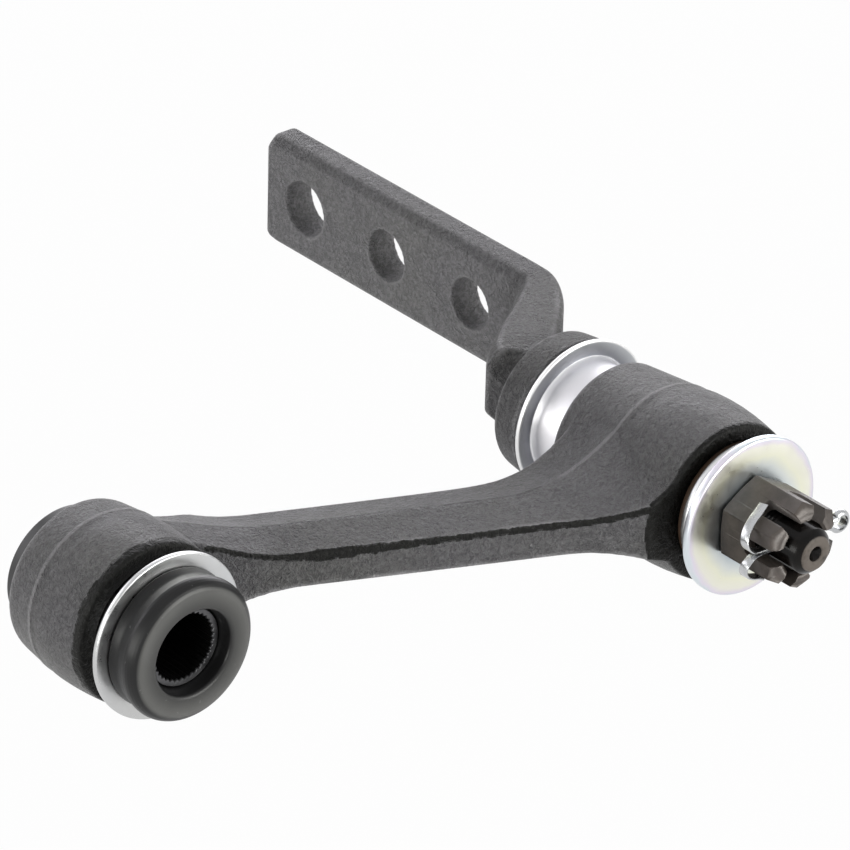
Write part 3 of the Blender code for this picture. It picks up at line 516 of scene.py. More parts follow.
# Rings on the pivot axis: steps round, body, slot, node and outline
rings = {
    "flangedSpool": (192, "bracket", "spool_zinc", "rear_spool", [
        (8.8, 34.0, 0.4), (20.4, 34.0, 0.3), (22.2, 32.7, 0.4), (22.2, 31.4, 0.4), (17.9, 31.7, 0.15),
        (17.6, 31.95, 0.1), (17.3, 31.5, 0.3), (16.9, 30.4, 0.5), (16.6, 22.6, 0.4), (16.2, 22.0, 0.2),
        (8.8, 22.0, 0.4)]),
    "innerSleeve": (128, "bracket", "sleeve_steel", "pivot_sleeve", [
        (8.8, 21.7, 0.3), (11.2, 21.7, 0.3), (11.2, -32.4, 0.3), (8.8, -32.4, 0.3)]),
    "rearShell": (128, "arm", "shell_steel", "rear_bush_shell", [
        (14.5, 19.6, 0.2), (15.7, 19.6, 0.2), (15.7, 2.0, 0.2), (14.5, 2.0, 0.2)]),
    "frontShell": (128, "arm", "shell_steel", "front_bush_shell", [
        (14.5, -2.0, 0.2), (15.7, -2.0, 0.2), (15.7, -25.6, 0.2), (14.5, -25.6, 0.2)]),
    "rearRubber": (128, "arm", "pivot_rubber", "rear_bush_rubber", [
        (11.5, 21.7, 0.2), (16.0, 21.7, 0.5), (16.0, 20.3, 0.2), (14.2, 20.3, 0.2), (14.2, 2.0, 0.2),
        (11.5, 2.0, 0.2)]),
    "frontRubber": (128, "arm", "pivot_rubber", "front_bush_rubber", [
        (11.5, -2.0, 0.2), (14.2, -2.0, 0.2), (14.2, -26.3, 0.2), (18.0, -26.3, 0.5), (18.0, -28.1, 0.7),
        (11.5, -28.1, 0.2)]),
    "thrustRing": (192, "bracket", "thrust_ring_zinc", "thrust_ring", [
        (11.5, -28.4, 0.3), (19.0, -28.4, 0.5), (19.0, -30.3, 0.6), (11.5, -30.3, 0.3)]),
    "wideWasher": (192, "bracket", "washer_zinc", "flat_washer", [
        (7.6, -32.7, 0.2), (22.3, -32.7, 0.5), (22.3, -35.0, 0.75), (7.6, -35.0, 0.3)]),
}


def makeRings():
    return {name: place(turned(name, outline, steps=steps), body, slotName, node)
            for name, (steps, body, slotName, node, outline) in rings.items()}


nut = {
    "steps": 144, "flat": 11.1, "bore": 7.3, "boreCut": 0.7, "back": -35.3, "front": -55.1,
    "topChamfer": 1.5, "topLift": 0.62, "backChamfer": 0.3, "backLift": 0.3,
    "slotWidth": 4.8, "slotFloor": -44.1, "slotRound": 0.45, "slotReach": 16.0, "edge": 0.32, "edgeAngle": 38,
}


# Around the nut the hexagon's radius is flat / cos(t within a sixth). Its top and bottom edges drop by
# lift times how far that radius passes the chamfer circle, which draws the curved arcs on each flat.
def makeNut():
    n = nut
    t = around(n["steps"]) + np.pi / 2
    within = (t - np.pi / 2 + np.pi / 6) % (np.pi / 3) - np.pi / 6
    hexagon = n["flat"] / np.cos(np.pi / 6 - abs(within))
    topCircle = n["flat"] - n["topChamfer"]
    backCircle = n["flat"] - n["backChamfer"]
    piece = looped("slottedNut", [
        (n["bore"], n["back"] - 0.8), (n["bore"] + n["boreCut"], n["back"]), (backCircle, n["back"]),
        (hexagon, n["back"] - n["backLift"] * (hexagon - backCircle)),
        (hexagon, n["front"] + n["topLift"] * (hexagon - topCircle)),
        (topCircle, n["front"]), (n["bore"] + 0.6, n["front"]), (n["bore"], n["front"] + n["boreCut"]),
    ], t, smooth=False)
    # each cutter runs right across the nut, so three of them make six slots with round floors
    u = np.linspace(0, np.pi, 9)
    half = n["slotWidth"] / 2
    deep = half * n["slotRound"]
    outline = np.stack([half * np.cos(u), n["slotFloor"] - deep + deep * np.sin(u)], -1)
    outline = np.concatenate([[(half, n["front"] - 3)], outline, [(-half, n["front"] - 3)]])
    along = np.array([-n["slotReach"], n["slotReach"]])[:, None]
    for turnBy in (0, np.pi / 3, 2 * np.pi / 3):
        x = along * np.cos(turnBy) - outline[:, 0] * np.sin(turnBy)
        z = along * np.sin(turnBy) + outline[:, 0] * np.cos(turnBy)
        cutter = np.stack([x, np.broadcast_to(outline[:, 1], x.shape), z], axis=-1)
        cutWith(piece, loft("slotCutter", cutter, smooth=False))
    softEdges(piece, n["edge"], n["edgeAngle"], 2)
    return place(piece, "bracket", "nut_phosphate", "castle_nut")


# bends of a leg: degrees round the nut, wires out from its corner (first four) or flat, share of the lift
pin = {
    "y": -49.3, "wire": 1.4, "clearance": 0.3, "eyeRadius": 2.1, "eyeDrop": 0.9, "eyeReach": 17.5,
    "eyeTurn": 150, "run": 0.85, "split": 0.15, "lift": 3.5, "flatness": 0.9, "edgeCut": 0.12,
    "arcCut": 0.02, "sharp": 50,
    "bends": [(174, 1.0, 0.0), (166, 1.9, 0.15), (155, 1.7, 0.4), (143, 0.9, 0.65), (131, 1.2, 0.85),
              (120, 1.05, 1.0)],
}


def unitRows(rows):
    return rows / np.linalg.norm(rows, axis=1, keepdims=True)


# Half-round wire: section(u) = place + side r cos u + outward flatness r sin u, carried along a smooth
# path that comes from one spread leg, crosses the nut, turns in the eye and goes back to the other leg
def makePin():
    p = pin
    corner = nut["flat"] / np.cos(np.pi / 6)
    bends = np.array(p["bends"])
    angle = np.radians(bends[:, 0])
    out = np.array([corner] * 4 + [nut["flat"]] * 2) + bends[:, 1] * (p["wire"] + p["clearance"])
    leg = np.stack([out * np.cos(angle), p["y"] + bends[:, 2] * p["lift"], out * np.sin(angle)], axis=-1)
    run = np.array([-p["run"] * corner, 0, p["run"] * corner])
    straight = np.stack([run, np.full(3, p["y"]), np.full(3, p["split"])], axis=-1)
    t = np.radians(np.linspace(p["eyeTurn"], -p["eyeTurn"], 9))
    eye = np.stack([p["eyeReach"] + p["eyeRadius"] * np.cos(t), np.full(9, p["y"]),
                    p["eyeRadius"] * np.sin(t) - p["eyeDrop"]], axis=-1)
    mirror = np.array([1, 1, -1])
    knots = np.concatenate([leg[::-1], straight, eye, (straight * mirror)[::-1], leg * mirror])
    path = smoothRows(knots, 10)
    tangent = unitRows(np.gradient(path, axis=0))
    side = unitRows(np.array([0, 1.0, 0]) - tangent * tangent[:, 1:2])
    outward = np.cross(tangent, side)
    u = np.linspace(0, np.pi, 13)
    section = np.stack([np.cos(u), p["flatness"] * np.sin(u)], axis=-1)
    cuts = np.r_[p["edgeCut"], np.full(11, p["arcCut"]), p["edgeCut"]]
    section = softCorners(section, cuts, 3) * p["wire"]
    points = path[:, None] + side[:, None] * section[None, :, :1] + outward[:, None] * section[None, :, 1:]
    piece = loft("splitPin", points)
    piece.data.set_sharp_from_angle(angle=np.radians(p["sharp"]))
    return place(piece, "bracket", "pin_zinc", "split_pin")


link = {
    "steps": 192,
    "shell": [(15.9, 53.5, 0.3), (17.2, 53.5, 0.5), (17.2, 12.1, 0.5), (21.8, 11.9, 0.3), (22.8, 11.0, 0.4),
              (22.8, 9.6, 0.4), (15.9, 9.6, 0.3)],
    "rubberRear": [(11.2, 52.5, 0.3), (15.6, 52.5, 0.3), (15.6, 9.3, 0.1), (19.2, 9.3, 0.4),
                   (18.7, 6.1, 0.8)],
    "rubberBore": 11.2, "bulb": 19.6, "bulbIn": 3.2, "bulbBack": 3.4, "bulbCut": 0.15, "face": -1.0,
    "mouth": 12.6, "lip": 0.8, "seat": 3.2, "rear": 55.7,
    "sleeveRadius": 10.9, "sleeveBore": 9.4, "serration": 0.45, "serrations": 36,
    "rim": 0.25, "rimDepth": 0.3, "sharp": 40,
}


def makeLinkBush():
    k = link
    shell = place(turned("linkShell", k["shell"], linkAxis, k["steps"]), "arm", "link_shell_zinc",
                  "link_bush_shell")
    t = np.radians(np.linspace(-25, 90, 9))
    bulb = np.stack([k["bulb"] - k["bulbIn"] * (1 - np.cos(t)), k["face"] + k["bulbBack"] * (1 - np.sin(t)),
                     np.full(9, k["bulbCut"])], axis=-1)
    mouth = [(k["mouth"], k["face"], 0.5), (k["mouth"] - k["lip"], k["face"] + 0.5, 0.6),
             (k["rubberBore"], k["seat"], 0.2)]
    outline = np.concatenate([k["rubberRear"], bulb, mouth])
    rubber = place(turned("linkRubber", outline, linkAxis, k["steps"], 5), "arm", "link_rubber",
                   "link_bush_rubber")
    # bore(t) = radius - serration * rounded triangle wave of t
    t = around(k["serrations"] * 8)
    wave = abs(((t * k["serrations"] / np.pi + 0.5) % 2) - 1)
    bore = k["sleeveBore"] - k["serration"] * smoothStep(wave, 0.15, 0.85)
    full, front, rear, rim = k["sleeveRadius"], k["seat"], k["rear"], k["rim"]
    sleeve = looped("linkSleeve", [
        (bore, front + k["rimDepth"]), (bore + rim, front), (full - rim, front), (full, front + rim),
        (full, rear - rim), (full - rim, rear), (bore + rim, rear), (bore, rear - k["rimDepth"]),
    ], t, linkAxis)
    sleeve.data.set_sharp_from_angle(angle=np.radians(k["sharp"]))
    place(sleeve, "link_sleeve", "link_sleeve_steel", "link_sleeve")
    return shell, rubber, sleeve


# A socket is linked to the input; a colour gets its fourth number, and a plain number is set as it is
def fill(tree, socket, value):
    if isinstance(value, bpy.types.NodeSocket):
        tree.links.new(value, socket)
    else:
        socket.default_value = (*value, 1.0) if isinstance(value, tuple) else value


def addNode(tree, kind, inputs=None, **settings):
    made = tree.nodes.new("ShaderNode" + kind)
    for key, value in settings.items():
        setattr(made, key, value)
    for key, value in (inputs or {}).items():
        fill(tree, made.inputs[key], value)
    return made


class Finish:
    def __init__(self, name):
        self.material = bpy.data.materials.new(name)
        self.material.use_nodes = True
        self.tree = self.material.node_tree
        self.shader = self.tree.nodes["Principled BSDF"]
        self.coords = self.node("TexCoord").outputs["Object"]

    def node(self, kind, inputs=None, **settings):
        return addNode(self.tree, kind, inputs, **settings)

    def noise(self, scale, detail=3, rough=0.5, distortion=0.0):
        return self.node("TexNoise", {"Scale": scale, "Detail": detail, "Roughness": rough,
                                      "Distortion": distortion, "Vector": self.coords}).outputs["Fac"]

    def math(self, operation, a, b=0.0, c=0.0, clamp=False):
        return self.node("Math", {0: a, 1: b, 2: c}, operation=operation, use_clamp=clamp).outputs[0]

    def times(self, a, b):
        return self.math("MULTIPLY", a, b)

    # a b + c
    def timesPlus(self, a, b, c, clamp=False):
        return self.math("MULTIPLY_ADD", a, b, c, clamp)

    def attribute(self, name):
        return self.node("Attribute", attribute_name=name).outputs["Fac"]

    # Runs smoothly from outLow to outHigh while the value goes from low to high
    def band(self, value, low, high, outLow=0.0, outHigh=1.0):
        return self.node("MapRange", {"Value": value, "From Min": low, "From Max": high, "To Min": outLow,
                                      "To Max": outHigh}, interpolation_type="SMOOTHSTEP").outputs["Result"]

    # The same along the piece's y, in millimetres
    def yBand(self, low, high):
        y = self.node("SeparateXYZ", {"Vector": self.coords}).outputs["Y"]
        return self.band(y, low * mm, high * mm)

    # low inside the first radius round an axis along y, 1 outside the second, in millimetres
    def ringBand(self, axis, inner, outer, low=0.0):
        parts = self.node("SeparateXYZ", {"Vector": self.coords})
        x = self.math("SUBTRACT", parts.outputs["X"], axis[0] * mm)
        z = self.math("SUBTRACT", parts.outputs["Z"], axis[1] * mm)
        r = self.math("SQRT", self.math("ADD", self.times(x, x), self.times(z, z)))
        return self.node("MapRange", {"Value": r, "From Min": inner * mm, "From Max": outer * mm,
                                      "To Min": low}).outputs["Result"]

    def mix(self, factor, a, b):
        return self.node("Mix", {0: factor, 6: a, 7: b}, data_type="RGBA").outputs[2]

    def ramp(self, factor, stops):
        made = self.node("ValToRGB", {"Fac": factor})
        band = made.color_ramp
        while len(band.elements) < len(stops):
            band.elements.new(0.5)
        for element, (position, colour) in zip(band.elements, stops):
            element.position = position
            element.color = (*colour, 1.0)
        return made.outputs["Color"]

    # distance is in millimetres
    def bump(self, height, distance, strength=1.0, normal=None):
        inputs = {"Height": height, "Distance": distance * mm, "Strength": strength}
        if normal:
            inputs["Normal"] = normal
        return self.node("Bump", inputs).outputs["Normal"]

    def feed(self, **values):
        names = {"colour": "Base Color", "rough": "Roughness", "metal": "Metallic", "normal": "Normal",
                 "specular": "Specular IOR Level"}
        for key, value in values.items():
            fill(self.tree, self.shader.inputs[names[key]], value)
        return self.material


nightBlack = (0.0, 0.0, 0.0)
pureWhite = (1.0, 1.0, 1.0)
most = (0.3, 0.7)                 # nearly all of a noise's values lie between these
fineGrain = (1500, 3, 0.6)


def lighter(colour, factor):
    return tuple(factor * v for v in colour)


# Noises are (scale, detail, roughness, distortion); bands are the values between which a mark comes
coat = {
    "colour": (0.094, 0.090, 0.102), "warm": (0.096, 0.094, 0.094), "wearAndHighlight": (0.3, 0.295, 0.305),
    "black": (0.0035, 0.0035, 0.003), "rough": 0.36,
    "grain": (1050, 3, 0.62, 0.8), "peel": (520, 3, 0.6, 1.2), "dents": (70, 2, 0.5), "cloud": (22, 2, 0.5),
    "wrinkle": (420, 3, 0.6, 2.0), "patches": (310, 2, 0.5), "rag": (330, 5, 0.75),
    "wrinkleBand": (0.035, 0.0), "patchBand": (0.42, 0.58), "cloudBand": (0.35, 0.65),
    "dentBand": (0.35, 0.6, 0.2, 1.0), "edgeRag": 0.3, "lineRag": 0.6, "foldRag": 0.8,
    "wearAndHighlightBand": (0.05, 0.24), "hollowShadeBand": (-0.06, -0.25), "blackBand": (0.46, 0.54),
    "lineBand": (0.35, 0.75), "foldBand": (0.45, 0.8), "reliefBand": (-0.12, 0.12),
    "wrinkleShare": 0.22, "wearAndHighlightShare": 0.85, "lineShare": 0.6, "hollowShadeShare": 0.2, "foldShare": 0.8,
    "darkest": 0.4, "lightest": 0.11, "deep": 0.34, "high": 0.065, "highTint": (0.8, 0.8, 0.8),
    "grainHeight": 1.7, "peelHeight": 1.5, "wrinkleHeight": 0.12, "lineHeight": 0.3,
    "blast": 0.5, "blastRough": 0.12, "bump": 0.8, "dentBump": 2.0,
}


# Dip coat over a shot-blasted forging: two sizes of leathery grain with fine wrinkles where a noise
# passes its middle value, soft dents, ridges wearing pale that also stand as painted edge highlights, a light
# parting line, a black crease where the coat ran together, and painted light and shade: the shade attribute's
# lighter and darker coat, painted shade in the grain's pits and highlights on its peaks, concave corners
# painted darker and black painted in the gaps
def forgingCoat():
    c = coat
    f = Finish("charcoalCoat")
    edge = f.attribute("edge")
    seam = f.attribute("seam")
    coarse = f.attribute("coarse")            # the bracket was blasted coarser than the arm, and its grain's painted shade and highlight are stronger
    grain = f.noise(*c["grain"])
    peel = f.noise(*c["peel"])
    dents = f.noise(*c["dents"])
    rag = f.math("SUBTRACT", f.noise(*c["rag"]), 0.5)
    off = f.math("ABSOLUTE", f.math("SUBTRACT", f.noise(*c["wrinkle"]), 0.5))
    wrinkle = f.times(f.band(off, *c["wrinkleBand"]), f.band(f.noise(*c["patches"]), *c["patchBand"]))
    wearAndHighlight = f.band(f.timesPlus(rag, c["edgeRag"], edge), *c["wearAndHighlightBand"])
    wearAndHighlight = f.times(wearAndHighlight, f.band(dents, *c["dentBand"]))
    # painted shade: concave corners darkened
    hollowShade = f.band(edge, *c["hollowShadeBand"])
    # painted shade: black on the bosses' front rims in the gaps by the bush flange and washer
    gapShadeMask = f.band(f.timesPlus(rag, c["edgeRag"], f.attribute("glaze")), *c["blackBand"])
    crease = f.band(f.timesPlus(rag, c["edgeRag"], f.attribute("crease")), *c["blackBand"])
    dark = f.math("MAXIMUM", gapShadeMask, crease)
    line = f.band(f.timesPlus(rag, c["lineRag"], seam), *c["lineBand"])
    fold = f.band(f.timesPlus(rag, c["foldRag"], f.times(seam, -1.0)), *c["foldBand"])
    blast = f.timesPlus(coarse, c["blast"], 1.0)
    # painted shade in the grain's pits and painted highlight on its peaks
    grainShadeAndHighlight = f.math("SUBTRACT", f.timesPlus(grain, 0.5, f.times(peel, 0.5)), 0.5)
    grainShadeAndHighlight = f.times(grainShadeAndHighlight, blast)
    tint = f.mix(f.band(f.noise(*c["cloud"]), *c["cloudBand"]), c["colour"], c["warm"])
    # painted light and shade: the shade attribute runs the coat from painted darker to painted lighter
    tint = f.mix(f.attribute("shade"), f.mix(c["darkest"], tint, nightBlack),
                 f.mix(c["lightest"], tint, pureWhite))
    tone = f.mix(f.band(grainShadeAndHighlight, *c["reliefBand"]), f.mix(c["deep"], tint, nightBlack),
                 f.mix(c["high"], tint, c["highTint"]))
    # pale wrinkles, edges wearing pale that also stand as painted edge highlights, and the light parting line
    for mark, share in ((wrinkle, c["wrinkleShare"]), (wearAndHighlight, c["wearAndHighlightShare"]), (line, c["lineShare"])):
        tone = f.mix(f.times(mark, share), tone, c["wearAndHighlight"])
    # the concave corners' painted shade with the dark fold on the beam, then the black of the painted gap
    # shade and of the crease
    hollowShadeAndFold = f.math("MAXIMUM", f.times(hollowShade, c["hollowShadeShare"]), f.times(fold, c["foldShare"]))
    for mark in (hollowShadeAndFold, dark):
        tone = f.mix(mark, tone, c["black"])
    rough = f.band(peel, *most, c["rough"] - 0.07, c["rough"] + 0.09)
    rough = f.timesPlus(coarse, c["blastRough"], f.timesPlus(dark, -0.12, rough))
    height = f.timesPlus(grain, c["grainHeight"], f.times(peel, c["peelHeight"]))
    height = f.timesPlus(line, c["lineHeight"], f.timesPlus(wrinkle, c["wrinkleHeight"], height))
    normal = f.bump(dents, c["dentBump"], 1.0, f.bump(f.times(height, blast), c["bump"]))
    return f.feed(colour=tone, rough=rough, metal=0.0, normal=normal)


# Black painted as shade in the gaps by the bush flanges and washer, and on the crease where the coat ran
# together and dried thick: little light comes back from it
def gapShadeAndPooledBlack():
    f = Finish("gapShadeAndPooledBlack")
    grain = f.noise(*coat["grain"])
    peel = f.noise(*coat["peel"])
    tone = f.mix(f.band(peel, 0.35, 0.7), coat["black"], lighter(coat["black"], 2.2))
    normal = f.bump(f.timesPlus(grain, 0.4, peel), 0.6, 1.0)
    return f.feed(colour=tone, rough=f.band(grain, *most, 0.26, 0.42), metal=0.0, normal=normal,
                  specular=0.16)


# Stops of the passivates' tints; hubToRim also carries the spool's dark flange face, a painted reflection of
# the arm's dark boss
tints = {
    "silver": [(0.0, (0.62, 0.64, 0.68)), (0.45, (0.78, 0.79, 0.8)), (0.75, (0.8, 0.79, 0.76)),
               (1.0, (0.66, 0.64, 0.72))],
    "hubToRim": [(0.0, (0.8, 0.8, 0.84)), (0.12, (0.84, 0.83, 0.86)), (0.24, (0.9, 0.9, 0.92)),
                 (0.32, (0.24, 0.245, 0.27)), (0.86, (0.38, 0.39, 0.41)), (0.95, (0.8, 0.8, 0.8))],
    "straw": [(0.0, (0.5, 0.56, 0.6)), (0.3, (0.7, 0.73, 0.71)), (0.55, (0.83, 0.83, 0.68)),
              (0.8, (0.84, 0.83, 0.74)), (0.92, (0.78, 0.73, 0.82)), (1.0, (0.72, 0.78, 0.82))],
    "dulled": [(0.0, (0.42, 0.43, 0.45)), (0.6, (0.56, 0.57, 0.58)), (1.0, (0.5, 0.49, 0.48))],
}


# Zinc: bright metal, its tint drifting from silver to straw, violet or blue with the passivate's depth.
# radial gives the two radii round the pivot between which the tint runs outwards; on the spool and washer
# this run also paints reflections of the arm's boss and of the nut.
def zincLook(f, tint, rough, scale, drift, radial=None):
    cloud = f.math("SUBTRACT", f.noise(scale, 3, 0.55, 0.6), 0.5)
    middle = f.ringBand(pivotAxis, *radial) if radial else 0.5
    tone = f.ramp(f.timesPlus(cloud, drift, middle, clamp=True), tints[tint])
    fine = f.noise(1400, 2, 0.5)
    wear = f.noise(300, 3, 0.6)
    roughness = f.timesPlus(fine, 0.06, f.band(wear, *most, rough - 0.06, rough + 0.03))
    normal = f.bump(f.timesPlus(fine, 0.3, wear), 0.004, 0.35)
    return tone, roughness, normal


def zinc(name, *look):
    f = Finish(name)
    tone, rough, normal = zincLook(f, *look)
    return f.feed(colour=tone, rough=rough, metal=1.0, normal=normal)


# The link shell was dipped with the arm behind its flange, so its rear tube is dark
def dippedShell():
    f = Finish("linkZinc")
    behind = f.yBand(20, 22)
    tone, rough, normal = zincLook(f, "silver", 0.3, 30, 0.8)
    tone = f.mix(behind, f.mix(0.25, tone, nightBlack), (0.012, 0.012, 0.013))
    return f.feed(colour=tone, rough=f.timesPlus(behind, 0.12, rough), metal=f.math("SUBTRACT", 1.0, behind),
                  normal=normal)


# Moulded rubber; paintedLitFace is the greyer colour painted on the link rubber's front face where the light
# falls, fading darker towards the mouth as painted shade
def rubberFinish(name, colour, rough, paintedLitFace=None):
    f = Finish(name)
    cloud = f.noise(60, 3, 0.5)
    fine = f.noise(1800, 2, 0.5)
    tone = f.mix(f.band(cloud, *most), colour, lighter(colour, 1.3))
    if paintedLitFace:
        # painted light: the front face lighter, fading darker towards the mouth as painted shade
        front = f.yBand(link["face"] + 0.6, link["face"] + 0.05)
        front = f.times(front, f.ringBand(linkAxis, 12.5, 16.5, 0.3))
        tone = f.mix(f.times(front, f.band(cloud, *most, 0.85, 1.0)), tone, paintedLitFace)
    specks = f.band(f.noise(700, 2, 0.6), 0.7, 0.78)
    tone = f.mix(f.times(specks, 0.2), tone, (0.3, 0.3, 0.3))
    roughness = f.band(cloud, *most, rough - 0.04, rough + 0.06)
    normal = f.bump(f.timesPlus(cloud, 2.0, fine), 0.015, 0.7)
    return f.feed(colour=tone, rough=roughness, metal=0.0, normal=normal, specular=0.3)


def darkSteel(name, colour, rough, metal):
    f = Finish(name)
    cloud = f.noise(180, 3, 0.6)
    fine = f.noise(*fineGrain)
    tone = f.mix(f.band(cloud, 0.3, 0.72), colour, lighter(colour, 1.7))
    roughness = f.band(fine, *most, rough - 0.06, rough + 0.1)
    normal = f.bump(f.math("ADD", fine, cloud), 0.025, 0.7)
    return f.feed(colour=tone, rough=roughness, metal=metal, normal=normal)


# Black oiled shaft with a bare brown-grey end face
def shaftFinish():
    f = Finish("oiledShaft")
    cloud = f.noise(260, 4, 0.65)
    bare = f.times(f.yBand(-58.9, -59.25), f.band(cloud, 0.25, 0.5, 0.5, 1.0))
    tone = f.mix(f.band(cloud, 0.4, 0.75), (0.0035, 0.003, 0.0028), (0.008, 0.006, 0.005))
    tone = f.mix(bare, tone, (0.125, 0.108, 0.095))
    rough = f.timesPlus(bare, 0.25, f.band(cloud, *most, 0.16, 0.26))
    normal = f.bump(f.noise(*fineGrain), 0.015, 0.6)
    return f.feed(colour=tone, rough=rough, metal=0.0, normal=normal, specular=0.18)


# Sleeve: bare bright front rim, and past it a bore painted near-black as the shade deep inside
def sleeveFinish():
    f = Finish("linkSleeveSteel")
    cloud = f.noise(200, 3, 0.6)
    tone = f.mix(f.band(cloud, *most), (0.09, 0.09, 0.095), (0.15, 0.15, 0.155))
    # painted shade: past the rim the sleeve is near-black
    tone = f.mix(f.yBand(3.4, 4.0), tone, (0.012, 0.012, 0.012))
    normal = f.bump(f.noise(*fineGrain), 0.015, 0.6)
    return f.feed(colour=tone, rough=f.band(cloud, *most, 0.3, 0.42), metal=0.9, normal=normal)


def dress(piece, *materials):
    for material in materials:
        piece.data.materials.append(material)


# The floor lies below the arm's lowest swing. floorGlow is how much of it is plain white to the camera and
# floorGloss to a mirror; soft is the share of the tent's light that reaches all but mirrors.
studio = {
    "floor": -138.0, "size": 6.0, "floorColour": (0.85, 0.85, 0.85), "floorGlow": 0.96, "floorGloss": 0.75,
    "horizon": 0.85, "overhead": 0.7, "fade": 0.5, "soft": 0.075,
}


def makeFloor():
    half = studio["size"] / 2 / mm
    low = studio["floor"]
    corners = np.array([(-half, -half, low), (half, -half, low), (half, half, low), (-half, half, low)])
    floor = meshPiece("floor", corners, np.array([[0, 1, 2, 3]]), smooth=False)
    material = bpy.data.materials.new("paleFloor")
    material.use_nodes = True
    tree = material.node_tree
    tree.nodes.clear()
    rays = addNode(tree, "LightPath").outputs
    glossy = addNode(tree, "Math", {0: rays["Is Glossy Ray"], 1: studio["floorGloss"]}, operation="MULTIPLY")
    seen = addNode(tree, "Math", {0: rays["Is Camera Ray"], 1: studio["floorGlow"], 2: glossy.outputs[0]},
                   operation="MULTIPLY_ADD", use_clamp=True)
    shade = addNode(tree, "BsdfDiffuse", {"Color": studio["floorColour"]})
    glow = addNode(tree, "Emission", {"Color": pureWhite, "Strength": 1.0})
    mix = addNode(tree, "MixShader", {0: seen.outputs[0], 1: shade.outputs[0], 2: glow.outputs[0]})
    addNode(tree, "OutputMaterial", {"Surface": mix.outputs[0]})
    dress(floor, material)


# A tent, light grey-white near the horizon and darker overhead, which the camera sees as plain white
def makeWorld():
    world = bpy.data.worlds.new("studio")
    bpy.context.scene.world = world
    world.use_nodes = True
    tree = world.node_tree
    tree.nodes.clear()
    rays = addNode(tree, "LightPath").outputs
    parts = addNode(tree, "SeparateXYZ", {0: addNode(tree, "TexCoord").outputs["Generated"]})
    fade = addNode(tree, "MapRange", {"Value": parts.outputs["Z"], "From Min": 0.0,
                                      "From Max": studio["fade"], "To Min": studio["horizon"],
                                      "To Max": studio["overhead"]}, interpolation_type="SMOOTHSTEP")
    share = addNode(tree, "MapRange", {"Value": rays["Is Glossy Ray"], "To Min": studio["soft"]})
    strength = addNode(tree, "Math", {0: fade.outputs[0], 1: share.outputs[0]}, operation="MULTIPLY")
    tent = addNode(tree, "Background", {"Color": pureWhite, "Strength": strength.outputs[0]})
    plain = addNode(tree, "Background", {"Color": pureWhite, "Strength": 1.0})
    mix = addNode(tree, "MixShader", {0: rays["Is Camera Ray"], 1: tent.outputs[0], 2: plain.outputs[0]})
    addNode(tree, "OutputWorld", {"Surface": mix.outputs[0]})


coolLight = (0.97, 0.955, 1.0)
warmLight = (1.0, 1.0, 0.965)

# Soft boxes: place and two sides in metres, power in watts, and tint
lampAim = (-0.05, 0.05, 0)
lamps = {
    "topBox": ((-0.05, 0.1, 1.3), (1.8, 1.8), 2, coolLight),
    "leftBox": ((-1.35, 0.0, 0.22), (1.6, 0.5), 11.5, warmLight),
    "backBox": ((1.05, 1.25, 0.7), (2.0, 1.0), 14, coolLight),
    "rimBox": ((1.15, 1.35, 0.17), (2.0, 0.3), 4, coolLight),
    "backLeftBox": ((-0.7, 1.4, 0.6), (1.2, 0.9), 7, coolLight),
    "frontBox": ((0.5, -1.35, 0.45), (1.2, 0.8), 22, warmLight),
}


def makeLamps():
    for name, (location, size, power, tint) in lamps.items():
        light = bpy.data.lights.new(name, "AREA")
        light.color = tint
        light.shape = "RECTANGLE"
        light.size, light.size_y = size
        light.energy = power
        lamp = newObject(name, light)
        lamp.location = location
        lamp.rotation_euler = (Vector(lampAim) - Vector(location)).to_track_quat("-Z", "Y").to_euler()


camera = {
    "position": (-1016.94, -1072.03, 836.63), "target": (-36.68, 52.31, 1.15), "roll": 1.59,
    "lens": 274.246, "sensor": 36, "clipStart": 0.05, "clipEnd": 20,
}


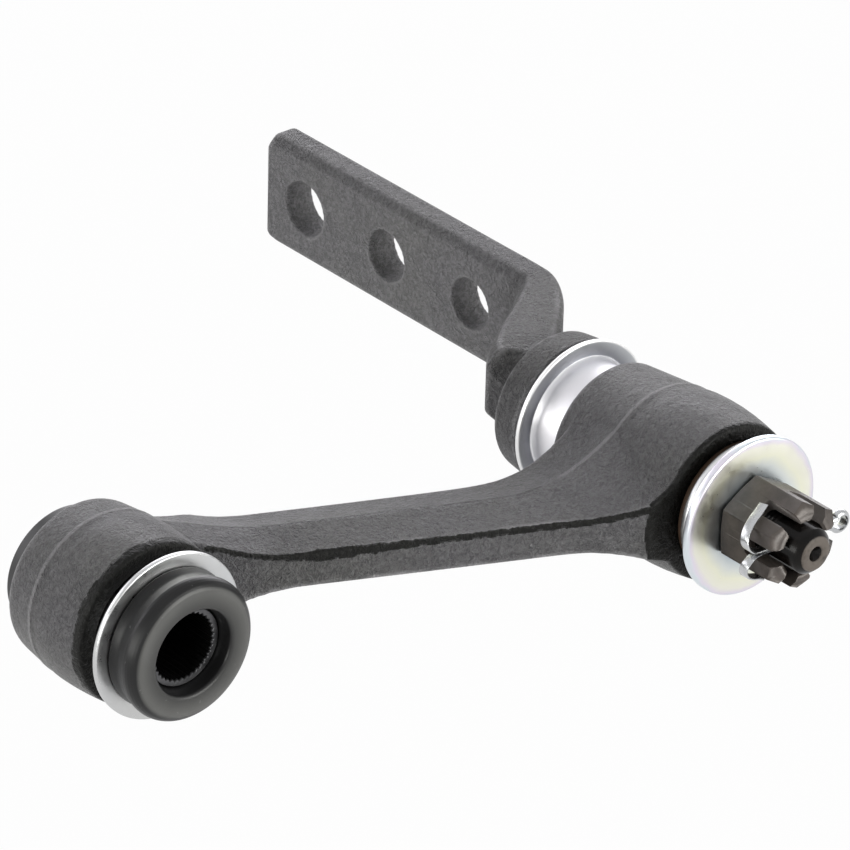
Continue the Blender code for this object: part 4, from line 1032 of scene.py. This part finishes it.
def makeCamera():
    position = Vector(camera["position"]) * mm
    ahead = (Vector(camera["target"]) * mm - position).normalized()
    right = ahead.cross(Vector((0, 0, 1))).normalized()
    up = right.cross(ahead)
    roll = np.radians(camera["roll"])
    across = right * np.cos(roll) + up * np.sin(roll)
    upward = up * np.cos(roll) - right * np.sin(roll)
    data = bpy.data.cameras.new("camera")
    data.lens = camera["lens"]
    data.sensor_width = camera["sensor"]
    data.clip_start = camera["clipStart"]
    data.clip_end = camera["clipEnd"]
    view = newObject("camera", data)
    turnTo = Matrix((across, upward, -ahead)).transposed().to_4x4()
    view.matrix_world = Matrix.Translation(position) @ turnTo
    bpy.context.scene.camera = view


print("camera and studio")
makeCamera()
makeFloor()
makeWorld()
makeLamps()
bpy.context.scene.view_settings.view_transform = "Standard"

print("forgings")
coatMaterial = forgingCoat()
armPiece = makeArm()
bracketPiece = makeBracket()
dress(armPiece, coatMaterial, gapShadeAndPooledBlack())
dress(bracketPiece, coatMaterial)
print("arm and bracket faces", len(armPiece.data.polygons), len(bracketPiece.data.polygons))

print("shaft, rings and nut")
dress(makeShaft(), shaftFinish())
ringPieces = makeRings()
# the spool's flange face is painted dark, a painted reflection of the arm's boss
dress(ringPieces["flangedSpool"], zinc("spoolZinc", "hubToRim", 0.44, 40, 0.12, (16, 22.4)))
dress(ringPieces["thrustRing"], zinc("ringZinc", "silver", 0.36, 60, 1.4))
# the washer's blue-grey by the nut is partly its passivate tint and partly a painted reflection of the nut
dress(ringPieces["wideWasher"], zinc("washerZinc", "straw", 0.31, 60, 0.45, (11, 22.6)))
dress(ringPieces["innerSleeve"], darkSteel("turnedSteel", (0.3, 0.3, 0.31), 0.3, 1.0))
drawnSteel = darkSteel("drawnSteel", (0.1, 0.1, 0.105), 0.35, 1.0)
brownRubber = rubberFinish("brownRubber", (0.045, 0.026, 0.016), 0.55)
for end in ("rear", "front"):
    dress(ringPieces[end + "Shell"], drawnSteel)
    dress(ringPieces[end + "Rubber"], brownRubber)
dress(makeNut(), darkSteel("phosphate", (0.056, 0.047, 0.042), 0.36, 0.2))
dress(makePin(), zinc("pinZinc", "dulled", 0.24, 120, 0.8))

print("link bush")
shellPiece, rubberPiece, sleevePiece = makeLinkBush()
dress(shellPiece, dippedShell())
dress(rubberPiece, rubberFinish("linkRubber", (0.009, 0.009, 0.0095), 0.34, (0.11, 0.11, 0.107)))
dress(sleevePiece, sleeveFinish())

print("finished")
